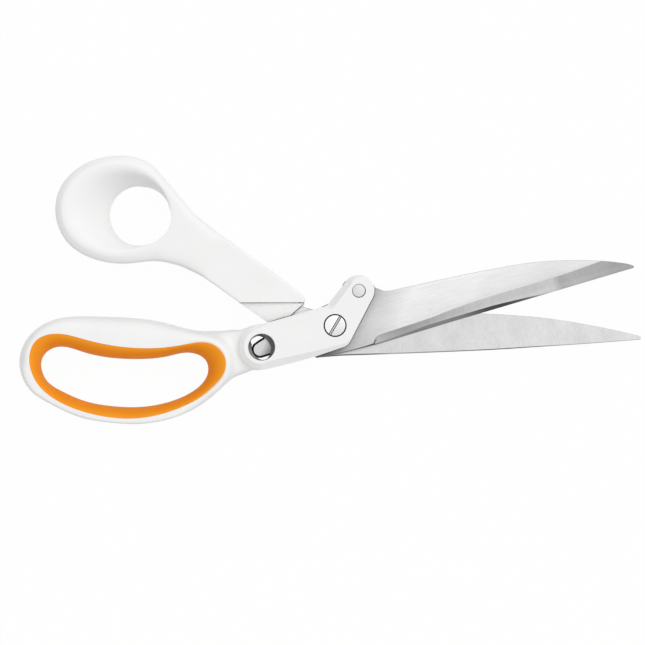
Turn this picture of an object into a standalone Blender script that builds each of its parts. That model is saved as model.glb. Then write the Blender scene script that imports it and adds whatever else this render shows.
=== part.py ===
"""Fabric shears: two ground blades on a screw pivot, a thumb handle, and a finger handle with a lever arm.

Sizes are in millimetres here and become metres in the scene. The shears lie flat, partly open: +X runs
towards the blade tips, +Z towards the viewer of the front side, and the pivot axis stands on the origin,
with z = 0 on the surface that the loops and the pivot nut rest on.
"""

import math

import bmesh
import bpy
import numpy as np

MM = 0.001

# Finishes as (colour, roughness, metallic)
GROUND_STEEL = ((0.62, 0.62, 0.61), 0.28, 1.0)
SPRING_STEEL = ((0.32, 0.32, 0.33), 0.35, 1.0)
BEARING_BRONZE = ((0.55, 0.38, 0.2), 0.4, 1.0)
WHITE_PLASTIC = ((0.88, 0.88, 0.87), 0.4, 0.0)
ORANGE_RUBBER = ((0.78, 0.22, 0.01), 0.6, 0.0)
SLIDE_PLASTIC = ((0.75, 0.74, 0.7), 0.5, 0.0)

# Gap between pieces that touch, and how far a cutter runs past the piece it cuts
CLEARANCE = 0.3
CUT_OVERRUN = 1.0

# The stack on the pivot axis, from the rest surface up
NUT_HEIGHT = 3.6
NUT_FLOOR = 0.7
WASHER_THICKNESS = 0.5
BLADE_THICKNESS = 2.7
ARM_THICKNESS = 4.7
SPRING_WASHER_HEIGHT = 0.8
NUT_WASHER_LOW = NUT_HEIGHT + CLEARANCE
REAR_LOW = NUT_WASHER_LOW + WASHER_THICKNESS + CLEARANCE
REAR_TOP = REAR_LOW + BLADE_THICKNESS
FRONT_LOW = REAR_TOP + CLEARANCE
FRONT_TOP = FRONT_LOW + BLADE_THICKNESS
ARM_LOW = FRONT_TOP + CLEARANCE
ARM_TOP = ARM_LOW + ARM_THICKNESS

# Pivot hardware
SCREW_HEAD_RADIUS = 3.9
SCREW_HEAD_RING = 0.55
SCREW_HEAD_SINK = 0.1
SCREW_SHANK_RADIUS = 2.2
SCREW_EDGE = 0.3
SLOT_WIDTH = 1.0
SLOT_DEPTH = 1.2
SLOT_ANGLE = 60.0
BUSH_WALL = 0.6
BUSH_BORE = SCREW_SHANK_RADIUS + CLEARANCE
BUSH_RADIUS = BUSH_BORE + BUSH_WALL
BLADE_BORE = BUSH_RADIUS + CLEARANCE
BLADE_WASHER_RADIUS = 7.0
NUT_RADIUS = 5.6
NUT_FLATS = 9.6
NUT_CHAMFER = 0.7

# Lever rivet, on which the arm turns: its domed head stands in the arm and its tail in the front blade
RIVET = (9.2, 13.6)
RIVET_HEAD_RADIUS = 2.6
RIVET_HEAD_HEIGHT = 1.6
RIVET_RIM_SINK = 0.25
RIVET_DOME = 0.5
RIVET_DOME_SHARES = (1.0, 0.8, 0.5, 0.0)
RIVET_SHANK_RADIUS = 1.7
RIVET_TAIL_RADIUS = 2.7
RIVET_TAIL_HEIGHT = 0.9
RIVET_TAIL_SINK = 0.1
RIVET_TAIL_LOW = FRONT_LOW + RIVET_TAIL_SINK
RIVET_TAIL_TOP = RIVET_TAIL_LOW + RIVET_TAIL_HEIGHT
RIVET_HEAD_LOW = ARM_TOP - RIVET_HEAD_HEIGHT
LEVER_BUSH_WALL = 0.7
LEVER_BUSH_BORE = RIVET_SHANK_RADIUS + CLEARANCE
LEVER_BUSH_RADIUS = LEVER_BUSH_BORE + LEVER_BUSH_WALL
LEVER_BUSH_TOP = RIVET_HEAD_LOW - CLEARANCE

# Window in the arm, with its steel sleeve and stop lip
WINDOW = (-28.6, -8.4)
SLEEVE_RADIUS = 5.4
SLEEVE_WALL = 0.5
SLEEVE_SINK = 0.1
STOP_LIP_REACH = 1.0
STOP_LIP_HEIGHT = 0.8
STOP_LIP_ANGLES = (150.0, 255.0)

# Blades: reach from the pivot to the tip of the longer one, and the hollow grind
BLADE_REACH = 119.3
EDGE_THICKNESS = 0.2
HOLLOW_DEPTH = 0.15
GRIND_OVERRUN = 0.15

# Front blade: edges of the working part as (share of the reach, distance across), the rest as (x, y)
BLADE_LOBE_RADIUS = 5.9
FRONT_SPINE = (
    (0.977, 23.3), (0.95, 24.2), (0.876, 25.2), (0.775, 25.5), (0.657, 24.8), (0.539, 22.6),
    (0.382, 18.9), (0.225, 14.8), (0.169, 13.5), (0.14, 14.4),
)
FRONT_WAIST = (
    (-1.0, 8.9), (-3.9, 6.9), (-8.4, 4.6), (-10.6, 1.2), (-12.0, -2.6), (-16.0, -4.7), (-27.3, -4.7),
)
FRONT_TANG_END = (-28.9, -8.7)
FRONT_TANG_END_RADIUS = 3.2
FRONT_HEEL = ((-17.6, -9.9), (-10.6, -9.8), (-7.1, -12.3), (0.7, -10.8))
FRONT_EDGE = ((0.134, -7.4), (0.977, 22.5))
FRONT_BEVEL = (
    (0.126, -6.6), (0.131, -5.3), (0.145, -3.6), (0.212, -1.0), (0.307, 2.8), (0.376, 6.0),
    (0.474, 10.1), (0.637, 16.0), (0.735, 19.5), (0.8, 22.2), (0.88, 25.6), (0.97, 29.3),
)

# Rear blade, in the same way; each bevel station is (boundary, cutting edge)
REAR_EDGE = (
    (0.9985, -4.6), (0.99, -3.9), (0.892, -1.2), (0.775, 1.4), (0.657, 3.3), (0.5, 4.6), (0.31, 5.7),
    (0.13, 6.4),
)
REAR_SHOULDER = ((6.5, 8.3), (1.0, 8.9), (-3.9, 7.3), (-8.2, 6.2), (-11.2, 6.8))
REAR_HEEL = ((-14.5, -4.0), (-10.0, -9.6), (-6.3, -12.5))
REAR_SPINE = (
    (0.019, -11.8), (0.265, -10.8), (0.5, -9.6), (0.657, -8.4), (0.814, -7.2), (0.9985, -5.5),
)
REAR_BEVEL = (
    ((0.13, 4.6), (0.13, 6.4)),
    ((0.16, 2.6), (0.17, 6.25)),
    ((0.31, 1.4), (0.315, 5.7)),
    ((0.5, 0.0), (0.5, 4.6)),
    ((0.657, -1.2), (0.66, 3.25)),
    ((0.775, -2.8), (0.78, 1.3)),
    ((0.892, -5.2), (0.9, -1.4)),
    ((1.0, -8.0), (1.01, -4.4)),
)
TANG_HALF_WIDTH = 4.6
REAR_TANG_START = (-17.6, 5.0)
REAR_TANG_END = (-50.7, 29.1)

# Arm of the finger handle
ARM_END_RADIUS = 8.8
ARM_LOBE_RADIUS = 6.15
ARM_CORNER = (1.95, -4.05)
ARM_CORNER_RADIUS = 4.5
ARM_EDGE_ROUND = 1.2
ARM_LOWER_SIDE = ((-15.6, -14.3), (-7.4, -12.0))
ARM_INNER_CORNER = ((-2.6, 8.4), (-3.7, 7.6), (-5.4, 7.1))
ARM_UPPER_END = (-25.8, 1.3)

# Neck between the loop and the arm; its lower part stops short of the tang's end and of the thumb pad
NECK_LOW = 2.0
NECK_DROP = 1.8
NECK_TOP = ARM_TOP - NECK_DROP
NECK_LOOP_SIDE = (
    (-42.5, -2.0), (-48.0, -2.2), (-53.0, -1.9), (-50.0, -4.9), (-42.4, -9.5), (-41.2, -17.0),
    (-44.0, -21.6), (-48.6, -26.0), (-44.1, -23.6), (-38.6, -19.6),
)
NECK_LOWER_END = ((-32.0, -17.9), (-33.2, -15.0), (-33.8, -9.0), (-35.4, -4.0), (-38.4, -1.7))
NECK_UPPER_END = ((-27.5, -17.1), (-29.0, -9.0), (-28.0, 0.5), (-31.0, -0.1), (-37.1, -1.5))

# Finger loop: heights, and stations clockwise from the left as (outer edge, seam, hole edge)
FINGER_LOOP_HEIGHT = 16.5
FINGER_LOOP_MIDDLE = 7.6
RIM_LAND_SHARE = 0.2
LINER_SINK = 0.3
FINGER_STATIONS = (
    ((-123.2, -14.2), (-119.3, -14.2), (-115.0, -14.2)),
    ((-120.5, -5.7), (-116.6, -6.0), (-113.3, -9.6)),
    ((-110.4, 2.0), (-108.5, -3.2), (-107.7, -7.3)),
    ((-97.9, 3.6), (-98.3, -5.5), (-98.7, -9.5)),
    ((-87.0, 3.3), (-87.8, -7.7), (-88.2, -11.6)),
    ((-75.3, 2.6), (-76.1, -8.9), (-76.5, -12.4)),
    ((-63.6, 0.6), (-64.4, -8.4), (-65.0, -11.3)),
    ((-54.3, -1.6), (-55.8, -7.1), (-57.2, -9.6)),
    ((-46.6, -3.7), (-48.4, -7.1), (-52.1, -10.5)),
    ((-39.4, -11.5), (-43.3, -12.7), (-49.6, -13.3)),
    ((-39.6, -18.2), (-43.5, -18.1), (-48.9, -17.4)),
    ((-45.3, -24.6), (-47.6, -23.3), (-51.3, -22.6)),
    ((-52.7, -30.6), (-54.2, -28.4), (-56.8, -26.8)),
    ((-63.6, -36.2), (-64.4, -33.3), (-65.9, -30.1)),
    ((-76.5, -38.4), (-76.5, -35.8), (-76.9, -31.8)),
    ((-88.6, -37.8), (-88.2, -35.4), (-87.4, -31.6)),
    ((-100.3, -35.5), (-99.1, -33.0), (-97.2, -29.8)),
    ((-110.4, -30.9), (-108.8, -28.8), (-106.5, -25.9)),
    ((-118.2, -25.9), (-115.5, -22.8), (-112.4, -21.2)),
    ((-122.2, -19.7), (-118.2, -18.3), (-114.2, -18.1)),
)

# Thumb loop: front rim, throat and back rim as ellipses (centre, half width, half height), and the outline
THUMB_LOOP_HEIGHT = 17.0
THUMB_RIM_TILT = 1.0
THUMB_THROAT_HEIGHT = 9.0
THUMB_EDGE_HEIGHT = 12.0
FRONT_RIM = ((-85.4, 45.8), 21.0, 17.1)
THROAT = ((-75.9, 42.8), 11.9, 11.5)
BACK_RIM = ((-71.4, 41.5), 16.2, 14.0)
THUMB_LOOP_CENTRE = (-80.0, 44.0)
THUMB_OUTLINE = (
    (-109.2, 45.0), (-107.3, 53.6), (-99.5, 62.0), (-85.4, 66.3), (-73.7, 64.2), (-64.0, 54.6),
    (-55.4, 44.4), (-51.4, 36.0), (-52.6, 27.4), (-58.6, 23.6), (-67.5, 25.3), (-80.8, 24.6),
    (-93.6, 26.2), (-104.2, 32.5),
)

# Thumb loop section as (share across, share up): foot to edge, edge to rim, rim to throat, throat to foot
THUMB_OUTSIDE = ((0.0, 0.0), (0.25, 0.0), (0.65, 0.22), (0.9, 0.55))
THUMB_BROW = ((0.0, 0.0), (0.25, 0.7), (0.75, 1.0))
THUMB_FUNNEL = ((0.15, 0.08), (0.6, 0.62))
THUMB_FLARE = ((0.0, 0.0), (0.4, 0.6))

# Thumb shank and stop pad
SHANK_LOW = 2.0
SHANK_TOP = 16.0
SHANK_EDGE_ROUND = 1.2
PAD_WALL = 1.0
PAD_DROP = 0.2
PAD_LOW = REAR_LOW - CLEARANCE - PAD_WALL
PAD_TOP = ARM_LOW - CLEARANCE - PAD_DROP
SHANK_OUTLINE = (
    (-54.0, 43.2), (-53.2, 31.0), (-56.0, 25.0), (-57.0, 22.4), (-48.0, 16.6), (-37.6, 9.0),
    (-12.6, 9.0), (-11.8, 9.6), (-11.7, 10.6), (-12.4, 11.4), (-43.3, 34.3), (-50.0, 39.6),
)
PAD_OUTLINE = (
    (-37.8, 9.2), (-26.6, 1.9), (-20.5, 0.8), (-17.9, 3.4), (-12.1, 8.7), (-12.4, 11.0), (-30.0, 14.0),
)

# How finely the curved surfaces are stepped
FINGER_STEPS = 60
FINGER_SECTION_STEPS = 11
THUMB_STEPS = 44
ROUND_STEPS = 40
EDGE_ROUND_STEPS = 2
MERGE_DISTANCE = 1e-5
SHARP_ANGLE = 35.0


def material(name, finish):
    """A plain surface of one colour."""
    colour, roughness, metallic = finish
    made = bpy.data.materials.new(name)
    made.use_nodes = True
    shader = made.node_tree.nodes["Principled BSDF"]
    shader.inputs["Base Color"].default_value = (*colour, 1.0)
    shader.inputs["Roughness"].default_value = roughness
    shader.inputs["Metallic"].default_value = metallic
    return made


def add_object(name, shape, finish=None, axis=(0.0, 0.0)):
    """A scene object from a mesh in millimetres, with its origin on the upright axis through the point axis.

    Without a finish it is a helper that joins or cuts another object, and it isn't rendered.
    """
    bmesh.ops.recalc_face_normals(shape, faces=shape.faces)
    bmesh.ops.translate(shape, verts=shape.verts, vec=(-axis[0], -axis[1], 0.0))
    bmesh.ops.scale(shape, verts=shape.verts, vec=(MM, MM, MM))
    mesh = bpy.data.meshes.new(name)
    shape.to_mesh(mesh)
    shape.free()
    mesh.shade_smooth()
    mesh.set_sharp_from_angle(angle=math.radians(SHARP_ANGLE))
    made = bpy.data.objects.new(name, mesh)
    made.location = (axis[0] * MM, axis[1] * MM, 0.0)
    bpy.context.scene.collection.objects.link(made)
    if finish:
        mesh.materials.append(material(name, finish))
    else:
        made.hide_render = True
        made.display_type = "WIRE"
    return made


def combine(piece, tool, operation):
    """Joins the helper tool to the piece, or cuts it from the piece."""
    modifier = piece.modifiers.new(tool.name, "BOOLEAN")
    modifier.operation = operation
    modifier.solver = "EXACT"
    modifier.object = tool


def arc(centre, radius, start, end, steps=12):
    """Points on a circle from one angle in degrees to another."""
    angles = np.radians(np.linspace(start, end, steps))
    return [(centre[0] + radius * math.cos(a), centre[1] + radius * math.sin(a)) for a in angles]


def spline(points, knots, samples):
    """The closed cubic spline through points at the given knots, read at the parameters in samples."""
    points = np.asarray(points, float)
    steps = np.diff(knots)[:, None]
    before = np.roll(steps, 1, axis=0)
    slopes = (np.roll(points, -1, axis=0) - points) / steps
    size = len(points)
    system = np.zeros((size, size))
    rows = np.arange(size)
    system[rows, rows] = 2 * (steps + before)[:, 0]
    system[rows, rows - 1] = steps[:, 0]
    system[rows, (rows + 1) % size] = before[:, 0]
    tangents = np.linalg.solve(system, 3 * (steps * np.roll(slopes, 1, axis=0) + before * slopes))
    spans = np.clip(np.searchsorted(knots, samples, side="right") - 1, 0, size - 1)
    after = (spans + 1) % size
    length = steps[spans]
    share = (samples[:, None] - knots[spans][:, None]) / length
    rise = share * share * (3 - 2 * share)
    return (
        points[spans] * (1 - rise)
        + points[after] * rise
        + tangents[spans] * length * share * (1 - share) ** 2
        - tangents[after] * length * share**2 * (1 - share)
    )


def chord_knots(points):
    """Running chord length round a closed list of points, back to its start."""
    points = np.asarray(points, float)
    chords = np.linalg.norm(np.roll(points, -1, axis=0) - points, axis=1)
    return np.concatenate([[0.0], np.cumsum(chords)])


def smooth_edge(points, per_span=4):
    """A smooth open line through points, with the first and last point kept."""
    points = np.asarray(points, float)
    padded = np.vstack([2 * points[0] - points[1], points, 2 * points[-1] - points[-2]])
    made = []
    for before, start, end, after in zip(padded, padded[1:], padded[2:], padded[3:]):
        for share in np.arange(per_span) / per_span:
            pull = (end - before) * share * (1 - share) ** 2 - (after - start) * share**2 * (1 - share)
            rise = share * share * (3 - 2 * share)
            made.append(tuple(start * (1 - rise) + end * rise + pull / 2))
    made.append(tuple(points[-1]))
    return made


def grown(outline, distance):
    """The outline moved outwards by distance; it runs anticlockwise."""
    points = np.asarray(outline, float)
    ahead = np.roll(points, -1, axis=0) - points
    ahead /= np.linalg.norm(ahead, axis=1)[:, None]
    normals = np.stack([ahead[:, 1], -ahead[:, 0]], axis=1)
    mitre = normals + np.roll(normals, 1, axis=0)
    mitre /= np.sum(mitre * normals, axis=1)[:, None]
    return points + distance * mitre


def skin(sections, closed):
    """Faces through sections of equal point count; the last joins the first, or both ends are capped."""
    shape = bmesh.new()
    rings = [[shape.verts.new(point) for point in section] for section in sections]
    following = rings[1:] + rings[:1] if closed else rings[1:]
    for ring, after in zip(rings, following):
        for index in range(len(ring)):
            shape.faces.new((ring[index - 1], ring[index], after[index], after[index - 1]))
    if not closed:
        shape.faces.new(rings[0])
        shape.faces.new(rings[-1])
    return shape


def prism(outline, low, high, edge_round=0.0):
    """An outline carried from one height to another, with its top and bottom edges rounded."""
    shape = bmesh.new()
    base = shape.faces.new([shape.verts.new((x, y, low)) for x, y in outline])
    sides = bmesh.ops.extrude_face_region(shape, geom=[base])
    top = [item for item in sides["geom"] if isinstance(item, bmesh.types.BMVert)]
    bmesh.ops.translate(shape, verts=top, vec=(0.0, 0.0, high - low))
    if edge_round:
        level = [e for e in shape.edges if abs(e.verts[0].co.z - e.verts[1].co.z) < edge_round / 2]
        bmesh.ops.bevel(
            shape,
            geom=level,
            offset=edge_round,
            segments=EDGE_ROUND_STEPS,
            profile=0.5,
            affect="EDGES",
            clamp_overlap=True,
        )
    return shape


def turned(profile, centre=(0.0, 0.0)):
    """A profile of (radius, height) points turned about an upright axis; points on the axis close it."""
    sections = []
    for angle in np.arange(ROUND_STEPS) * math.tau / ROUND_STEPS:
        x, y = math.cos(angle), math.sin(angle)
        sections.append([(centre[0] + r * x, centre[1] + r * y, z) for r, z in profile])
    shape = skin(sections, closed=True)
    bmesh.ops.remove_doubles(shape, verts=shape.verts, dist=MERGE_DISTANCE)
    lone = [edge for edge in shape.edges if not edge.link_faces]
    bmesh.ops.delete(shape, geom=lone, context="EDGES")
    return shape


def sleeve_profile(bore, radius, low, high):
    """The cross-section of a plain round sleeve or washer."""
    return [(bore, low), (radius, low), (radius, high), (bore, high)]


def cut_round(piece, name, radius, low, high, centre=(0.0, 0.0)):
    """A round hole in the piece between two heights."""
    bar = [(0.0, low), (radius, low), (radius, high), (0.0, high)]
    combine(piece, add_object(name, turned(bar, centre)), "DIFFERENCE")


def along(stations):
    """Blade edge points from (share of the blade's reach, distance across)."""
    return [(share * BLADE_REACH, across) for share, across in stations]


def foot_on_line(point, start, end):
    """The point of the line from start to end that lies nearest to the given point."""
    start = np.array(start)
    way = np.array(end) - start
    return start + way * np.dot(point - start, way) / np.dot(way, way)


def grind(name, stations, flat_height, edge_height):
    """A cutter for the hollow-ground bevel of a blade.

    Each station is (bevel boundary, cutting edge). The ground surface sags a little between the two, and
    it runs on past both, so that the cut leaves a clean line on the flat and an even edge.
    """
    away = math.copysign(BLADE_THICKNESS, flat_height - edge_height)
    clear = np.array([0.0, 0.0, away])
    sag = np.array([0.0, 0.0, math.copysign(HOLLOW_DEPTH, away)])
    sections = []
    for boundary, edge in stations:
        boundary = np.array([*boundary, flat_height])
        edge = np.array([*edge, edge_height])
        middle = (boundary + edge) / 2 - sag
        first = boundary + (boundary - edge) * GRIND_OVERRUN
        last = edge + (edge - boundary) * GRIND_OVERRUN * 2
        sections.append([first, boundary, middle, edge, last, last + clear * 2, first + clear])
    return add_object(name, skin(sections, closed=False))


def front_outline():
    """The front blade from its tip along the spine, round the rivet lobe and the tang, to the cutting edge."""
    lobe = arc(RIVET, BLADE_LOBE_RADIUS, 15, 150, 14)
    tang_end = arc(FRONT_TANG_END, FRONT_TANG_END_RADIUS, 118, 283, 14)
    spine = smooth_edge(along(FRONT_SPINE))
    return [*spine, *lobe, *FRONT_WAIST, *tang_end, *FRONT_HEEL, *along(FRONT_EDGE)]


def rear_outline():
    """The rear blade from its tip along the cutting edge, over the pivot, round the tang, to the spine."""
    axis = np.subtract(REAR_TANG_START, REAR_TANG_END)
    axis /= np.linalg.norm(axis)
    across = TANG_HALF_WIDTH * np.array([-axis[1], axis[0]])
    ends = ((REAR_TANG_START, 1), (REAR_TANG_END, 1), (REAR_TANG_END, -1), (REAR_TANG_START, -1))
    tang = [tuple(end + across * side) for end, side in ends]
    edge = smooth_edge(along(REAR_EDGE))
    spine = smooth_edge(along(REAR_SPINE))
    return [*edge, *REAR_SHOULDER, *tang, *REAR_HEEL, *spine]


def front_blade():
    piece = add_object("front_blade", prism(front_outline(), FRONT_LOW, FRONT_TOP), GROUND_STEEL)
    edge_start, edge_end = along(FRONT_EDGE)
    stations = [(point, foot_on_line(point, edge_start, edge_end)) for point in along(FRONT_BEVEL)]
    combine(piece, grind("front_grind", stations, FRONT_TOP, FRONT_LOW + EDGE_THICKNESS), "DIFFERENCE")
    below, above = FRONT_LOW - CUT_OVERRUN, FRONT_TOP + CUT_OVERRUN
    cut_round(piece, "front_bore", BLADE_BORE, below, above)
    cut_round(piece, "rivet_bore", RIVET_SHANK_RADIUS + CLEARANCE, below, above, RIVET)
    cut_round(piece, "rivet_sink", RIVET_TAIL_RADIUS + CLEARANCE, below, RIVET_TAIL_TOP + CLEARANCE, RIVET)


def rear_blade():
    piece = add_object("rear_blade", prism(rear_outline(), REAR_LOW, REAR_TOP), GROUND_STEEL)
    stations = [along(station) for station in REAR_BEVEL]
    combine(piece, grind("rear_grind", stations, REAR_LOW, REAR_TOP - EDGE_THICKNESS), "DIFFERENCE")
    below, above = REAR_LOW - CUT_OVERRUN, REAR_TOP + CUT_OVERRUN
    cut_round(piece, "rear_bore", BLADE_BORE, below, above)
    pocket_floor = REAR_TOP - WASHER_THICKNESS - CLEARANCE
    cut_round(piece, "washer_pocket", BLADE_WASHER_RADIUS + CLEARANCE, pocket_floor, above)


def finger_rings():
    """The finger loop's outer edge, seam and hole edge, each read at the same steps along the seam."""
    outer, seam, hole = zip(*FINGER_STATIONS)
    knots = chord_knots(seam)
    samples = np.arange(FINGER_STEPS) * knots[-1] / FINGER_STEPS
    return [spline(points, knots, samples) for points in (outer, seam, hole)]


def bulge(top):
    """(share, height) up the half-oval from the rest surface over the widest point to the top."""
    angles = np.linspace(-math.pi / 2, math.pi / 2, FINGER_SECTION_STEPS)
    rise = np.where(angles < 0, FINGER_LOOP_MIDDLE, top - FINGER_LOOP_MIDDLE)
    return np.cos(angles), FINGER_LOOP_MIDDLE + rise * np.sin(angles)


def ring_body(start, end, shares, heights):
    """A ring whose section runs from the start line to the end line, with a flat wall along the start."""
    away = end - start
    away /= np.linalg.norm(away, axis=1)[:, None]
    start = start + away * CLEARANCE / 2
    sections = []
    for near, far in zip(start, end):
        plan = near + shares[:, None] * (far - near)
        sections.append([(x, y, z) for (x, y), z in zip(plan, heights)])
    return skin(sections, closed=True)


def arm_outline():
    """The lever arm, anticlockwise from the top of its round end at the window."""
    window_end = arc(WINDOW, ARM_END_RADIUS, 105, 285, 16)
    corner = arc(ARM_CORNER, ARM_CORNER_RADIUS, -73, -24, 6)
    lobe = arc(RIVET, ARM_LOBE_RADIUS, -23.6, 142.2, 16)
    return [*window_end, *ARM_LOWER_SIDE, *corner, *lobe, *ARM_INNER_CORNER, ARM_UPPER_END]


def finger_handle():
    outer, seam, hole = finger_rings()
    shares, heights = bulge(FINGER_LOOP_HEIGHT)
    shares = RIM_LAND_SHARE + (1 - RIM_LAND_SHARE) * shares
    shares = np.concatenate([[0.0], shares, [0.0]])
    heights = np.concatenate([heights[:1], heights, heights[-1:]])
    piece = add_object("finger_handle", ring_body(seam, outer, shares, heights), WHITE_PLASTIC, RIVET)
    lower_neck = prism(NECK_LOOP_SIDE + NECK_LOWER_END, NECK_LOW, NECK_TOP)
    upper_neck = prism(NECK_LOOP_SIDE + NECK_UPPER_END, ARM_LOW, NECK_TOP)
    arm = prism(arm_outline(), ARM_LOW, ARM_TOP, ARM_EDGE_ROUND)
    combine(piece, add_object("lower_neck", lower_neck), "UNION")
    combine(piece, add_object("upper_neck", upper_neck), "UNION")
    combine(piece, add_object("arm", arm), "UNION")
    below, above = ARM_LOW - CUT_OVERRUN, ARM_TOP + CUT_OVERRUN
    cut_round(piece, "screw_hole", SCREW_HEAD_RADIUS + SCREW_HEAD_RING, below, above)
    cut_round(piece, "window_hole", SLEEVE_RADIUS + CLEARANCE, below, above, WINDOW)
    cut_round(piece, "bush_hole", LEVER_BUSH_RADIUS + CLEARANCE, below, LEVER_BUSH_TOP, RIVET)
    cut_round(piece, "head_hole", RIVET_HEAD_RADIUS + CLEARANCE, below, above, RIVET)

    shares, heights = bulge(FINGER_LOOP_HEIGHT - LINER_SINK)
    heights = np.maximum(heights, LINER_SINK)
    add_object("finger_grip", ring_body(seam, hole, shares, heights), ORANGE_RUBBER, RIVET)


def ellipse_point(ellipse, angle):
    """A point of an ellipse given as (centre, half width, half height)."""
    centre, half_width, half_height = ellipse
    return np.array([centre[0] + half_width * math.cos(angle), centre[1] + half_height * math.sin(angle)])


def thumb_loop():
    """The flared loop; each section runs from the flat foot round the outside, over the rim to the throat."""
    knots = chord_knots(THUMB_OUTLINE)
    samples = np.arange(THUMB_STEPS) * knots[-1] / THUMB_STEPS
    sections = []
    for edge in spline(THUMB_OUTLINE, knots, samples):
        angle = math.atan2(edge[1] - THUMB_LOOP_CENTRE[1], edge[0] - THUMB_LOOP_CENTRE[0])
        rim = ellipse_point(FRONT_RIM, angle)
        throat = ellipse_point(THROAT, angle)
        foot = ellipse_point(BACK_RIM, angle)
        top = THUMB_LOOP_HEIGHT - THUMB_RIM_TILT * math.cos(angle)
        section = []
        for start, end, low, high, steps in (
            (foot, edge, 0.0, THUMB_EDGE_HEIGHT, THUMB_OUTSIDE),
            (edge, rim, THUMB_EDGE_HEIGHT, top, THUMB_BROW),
            (rim, throat, top, THUMB_THROAT_HEIGHT, THUMB_FUNNEL),
            (throat, foot, THUMB_THROAT_HEIGHT, 0.0, THUMB_FLARE),
        ):
            for across, up in steps:
                section.append((*(start + (end - start) * across), low + (high - low) * up))
        sections.append(section)
    return skin(sections, closed=True)


def thumb_handle():
    piece = add_object("thumb_handle", thumb_loop(), WHITE_PLASTIC)
    shank = prism(SHANK_OUTLINE, SHANK_LOW, SHANK_TOP, SHANK_EDGE_ROUND)
    pad = prism(PAD_OUTLINE, PAD_LOW, PAD_TOP)
    slot = prism(grown(rear_outline(), CLEARANCE), REAR_LOW - CLEARANCE, REAR_TOP + CLEARANCE)
    combine(piece, add_object("shank", shank), "UNION")
    combine(piece, add_object("pad", pad), "UNION")
    combine(piece, add_object("tang_slot", slot), "DIFFERENCE")


def pivot_screw():
    head_low = FRONT_TOP + CLEARANCE + SPRING_WASHER_HEIGHT + CLEARANCE
    head_top = ARM_TOP - SCREW_HEAD_SINK
    shank_low = NUT_FLOOR + CLEARANCE
    profile = [
        (0.0, shank_low),
        (SCREW_SHANK_RADIUS - SCREW_EDGE, shank_low),
        (SCREW_SHANK_RADIUS, shank_low + SCREW_EDGE),
        (SCREW_SHANK_RADIUS, head_low),
        (SCREW_HEAD_RADIUS, head_low),
        (SCREW_HEAD_RADIUS, head_top - SCREW_EDGE),
        (SCREW_HEAD_RADIUS - SCREW_EDGE, head_top),
        (0.0, head_top),
    ]
    screw = add_object("pivot_screw", turned(profile), GROUND_STEEL)
    reach, half = SCREW_HEAD_RADIUS + CUT_OVERRUN, SLOT_WIDTH / 2
    corners = [(-reach, -half), (reach, -half), (reach, half), (-reach, half)]
    slot = add_object("screw_slot", prism(corners, head_top - SLOT_DEPTH, head_top + CUT_OVERRUN))
    slot.rotation_euler.z = math.radians(SLOT_ANGLE)
    combine(screw, slot, "DIFFERENCE")


def pivot_nut():
    profile = [
        (0.0, 0.0),
        (NUT_RADIUS - NUT_CHAMFER, 0.0),
        (NUT_RADIUS, NUT_CHAMFER),
        (NUT_RADIUS, NUT_HEIGHT),
        (BUSH_BORE, NUT_HEIGHT),
        (BUSH_BORE, NUT_FLOOR),
        (0.0, NUT_FLOOR),
    ]
    nut = add_object("pivot_nut", turned(profile), GROUND_STEEL)
    for side in (1, -1):
        flat = NUT_FLATS / 2 * side
        beyond = NUT_RADIUS * 2 * side
        corners = [(-NUT_RADIUS, flat), (NUT_RADIUS, flat), (NUT_RADIUS, beyond), (-NUT_RADIUS, beyond)]
        tool = add_object("nut_flat", prism(corners, -CUT_OVERRUN, NUT_HEIGHT + CUT_OVERRUN))
        combine(nut, tool, "DIFFERENCE")


def pivot_rings():
    """The bush through both blades, and the three washers on it."""
    bush = sleeve_profile(BUSH_BORE, BUSH_RADIUS, REAR_LOW, FRONT_TOP)
    add_object("pivot_bush", turned(bush), BEARING_BRONZE)
    slide = sleeve_profile(BLADE_BORE, BLADE_WASHER_RADIUS, REAR_TOP - WASHER_THICKNESS, REAR_TOP)
    add_object("blade_washer", turned(slide), SLIDE_PLASTIC)
    plain = sleeve_profile(BUSH_BORE, NUT_RADIUS, NUT_WASHER_LOW, NUT_WASHER_LOW + WASHER_THICKNESS)
    add_object("nut_washer", turned(plain), GROUND_STEEL)
    low = FRONT_TOP + CLEARANCE
    cone = [
        (BUSH_BORE, low + SPRING_WASHER_HEIGHT - WASHER_THICKNESS),
        (SCREW_HEAD_RADIUS, low),
        (SCREW_HEAD_RADIUS, low + WASHER_THICKNESS),
        (BUSH_BORE, low + SPRING_WASHER_HEIGHT),
    ]
    add_object("spring_washer", turned(cone), SPRING_STEEL)


def lever_hardware():
    rim = ARM_TOP - RIVET_RIM_SINK
    dome = [(RIVET_HEAD_RADIUS * share, rim + RIVET_DOME * (1 - share**2)) for share in RIVET_DOME_SHARES]
    profile = [
        (0.0, RIVET_TAIL_LOW),
        (RIVET_TAIL_RADIUS, RIVET_TAIL_LOW),
        (RIVET_TAIL_RADIUS, RIVET_TAIL_TOP),
        (RIVET_SHANK_RADIUS, RIVET_TAIL_TOP),
        (RIVET_SHANK_RADIUS, RIVET_HEAD_LOW),
        (RIVET_HEAD_RADIUS, RIVET_HEAD_LOW),
        *dome,
    ]
    add_object("lever_rivet", turned(profile, RIVET), GROUND_STEEL, RIVET)
    bush = sleeve_profile(LEVER_BUSH_BORE, LEVER_BUSH_RADIUS, ARM_LOW, LEVER_BUSH_TOP)
    add_object("lever_bush", turned(bush, RIVET), BEARING_BRONZE, RIVET)


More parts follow.
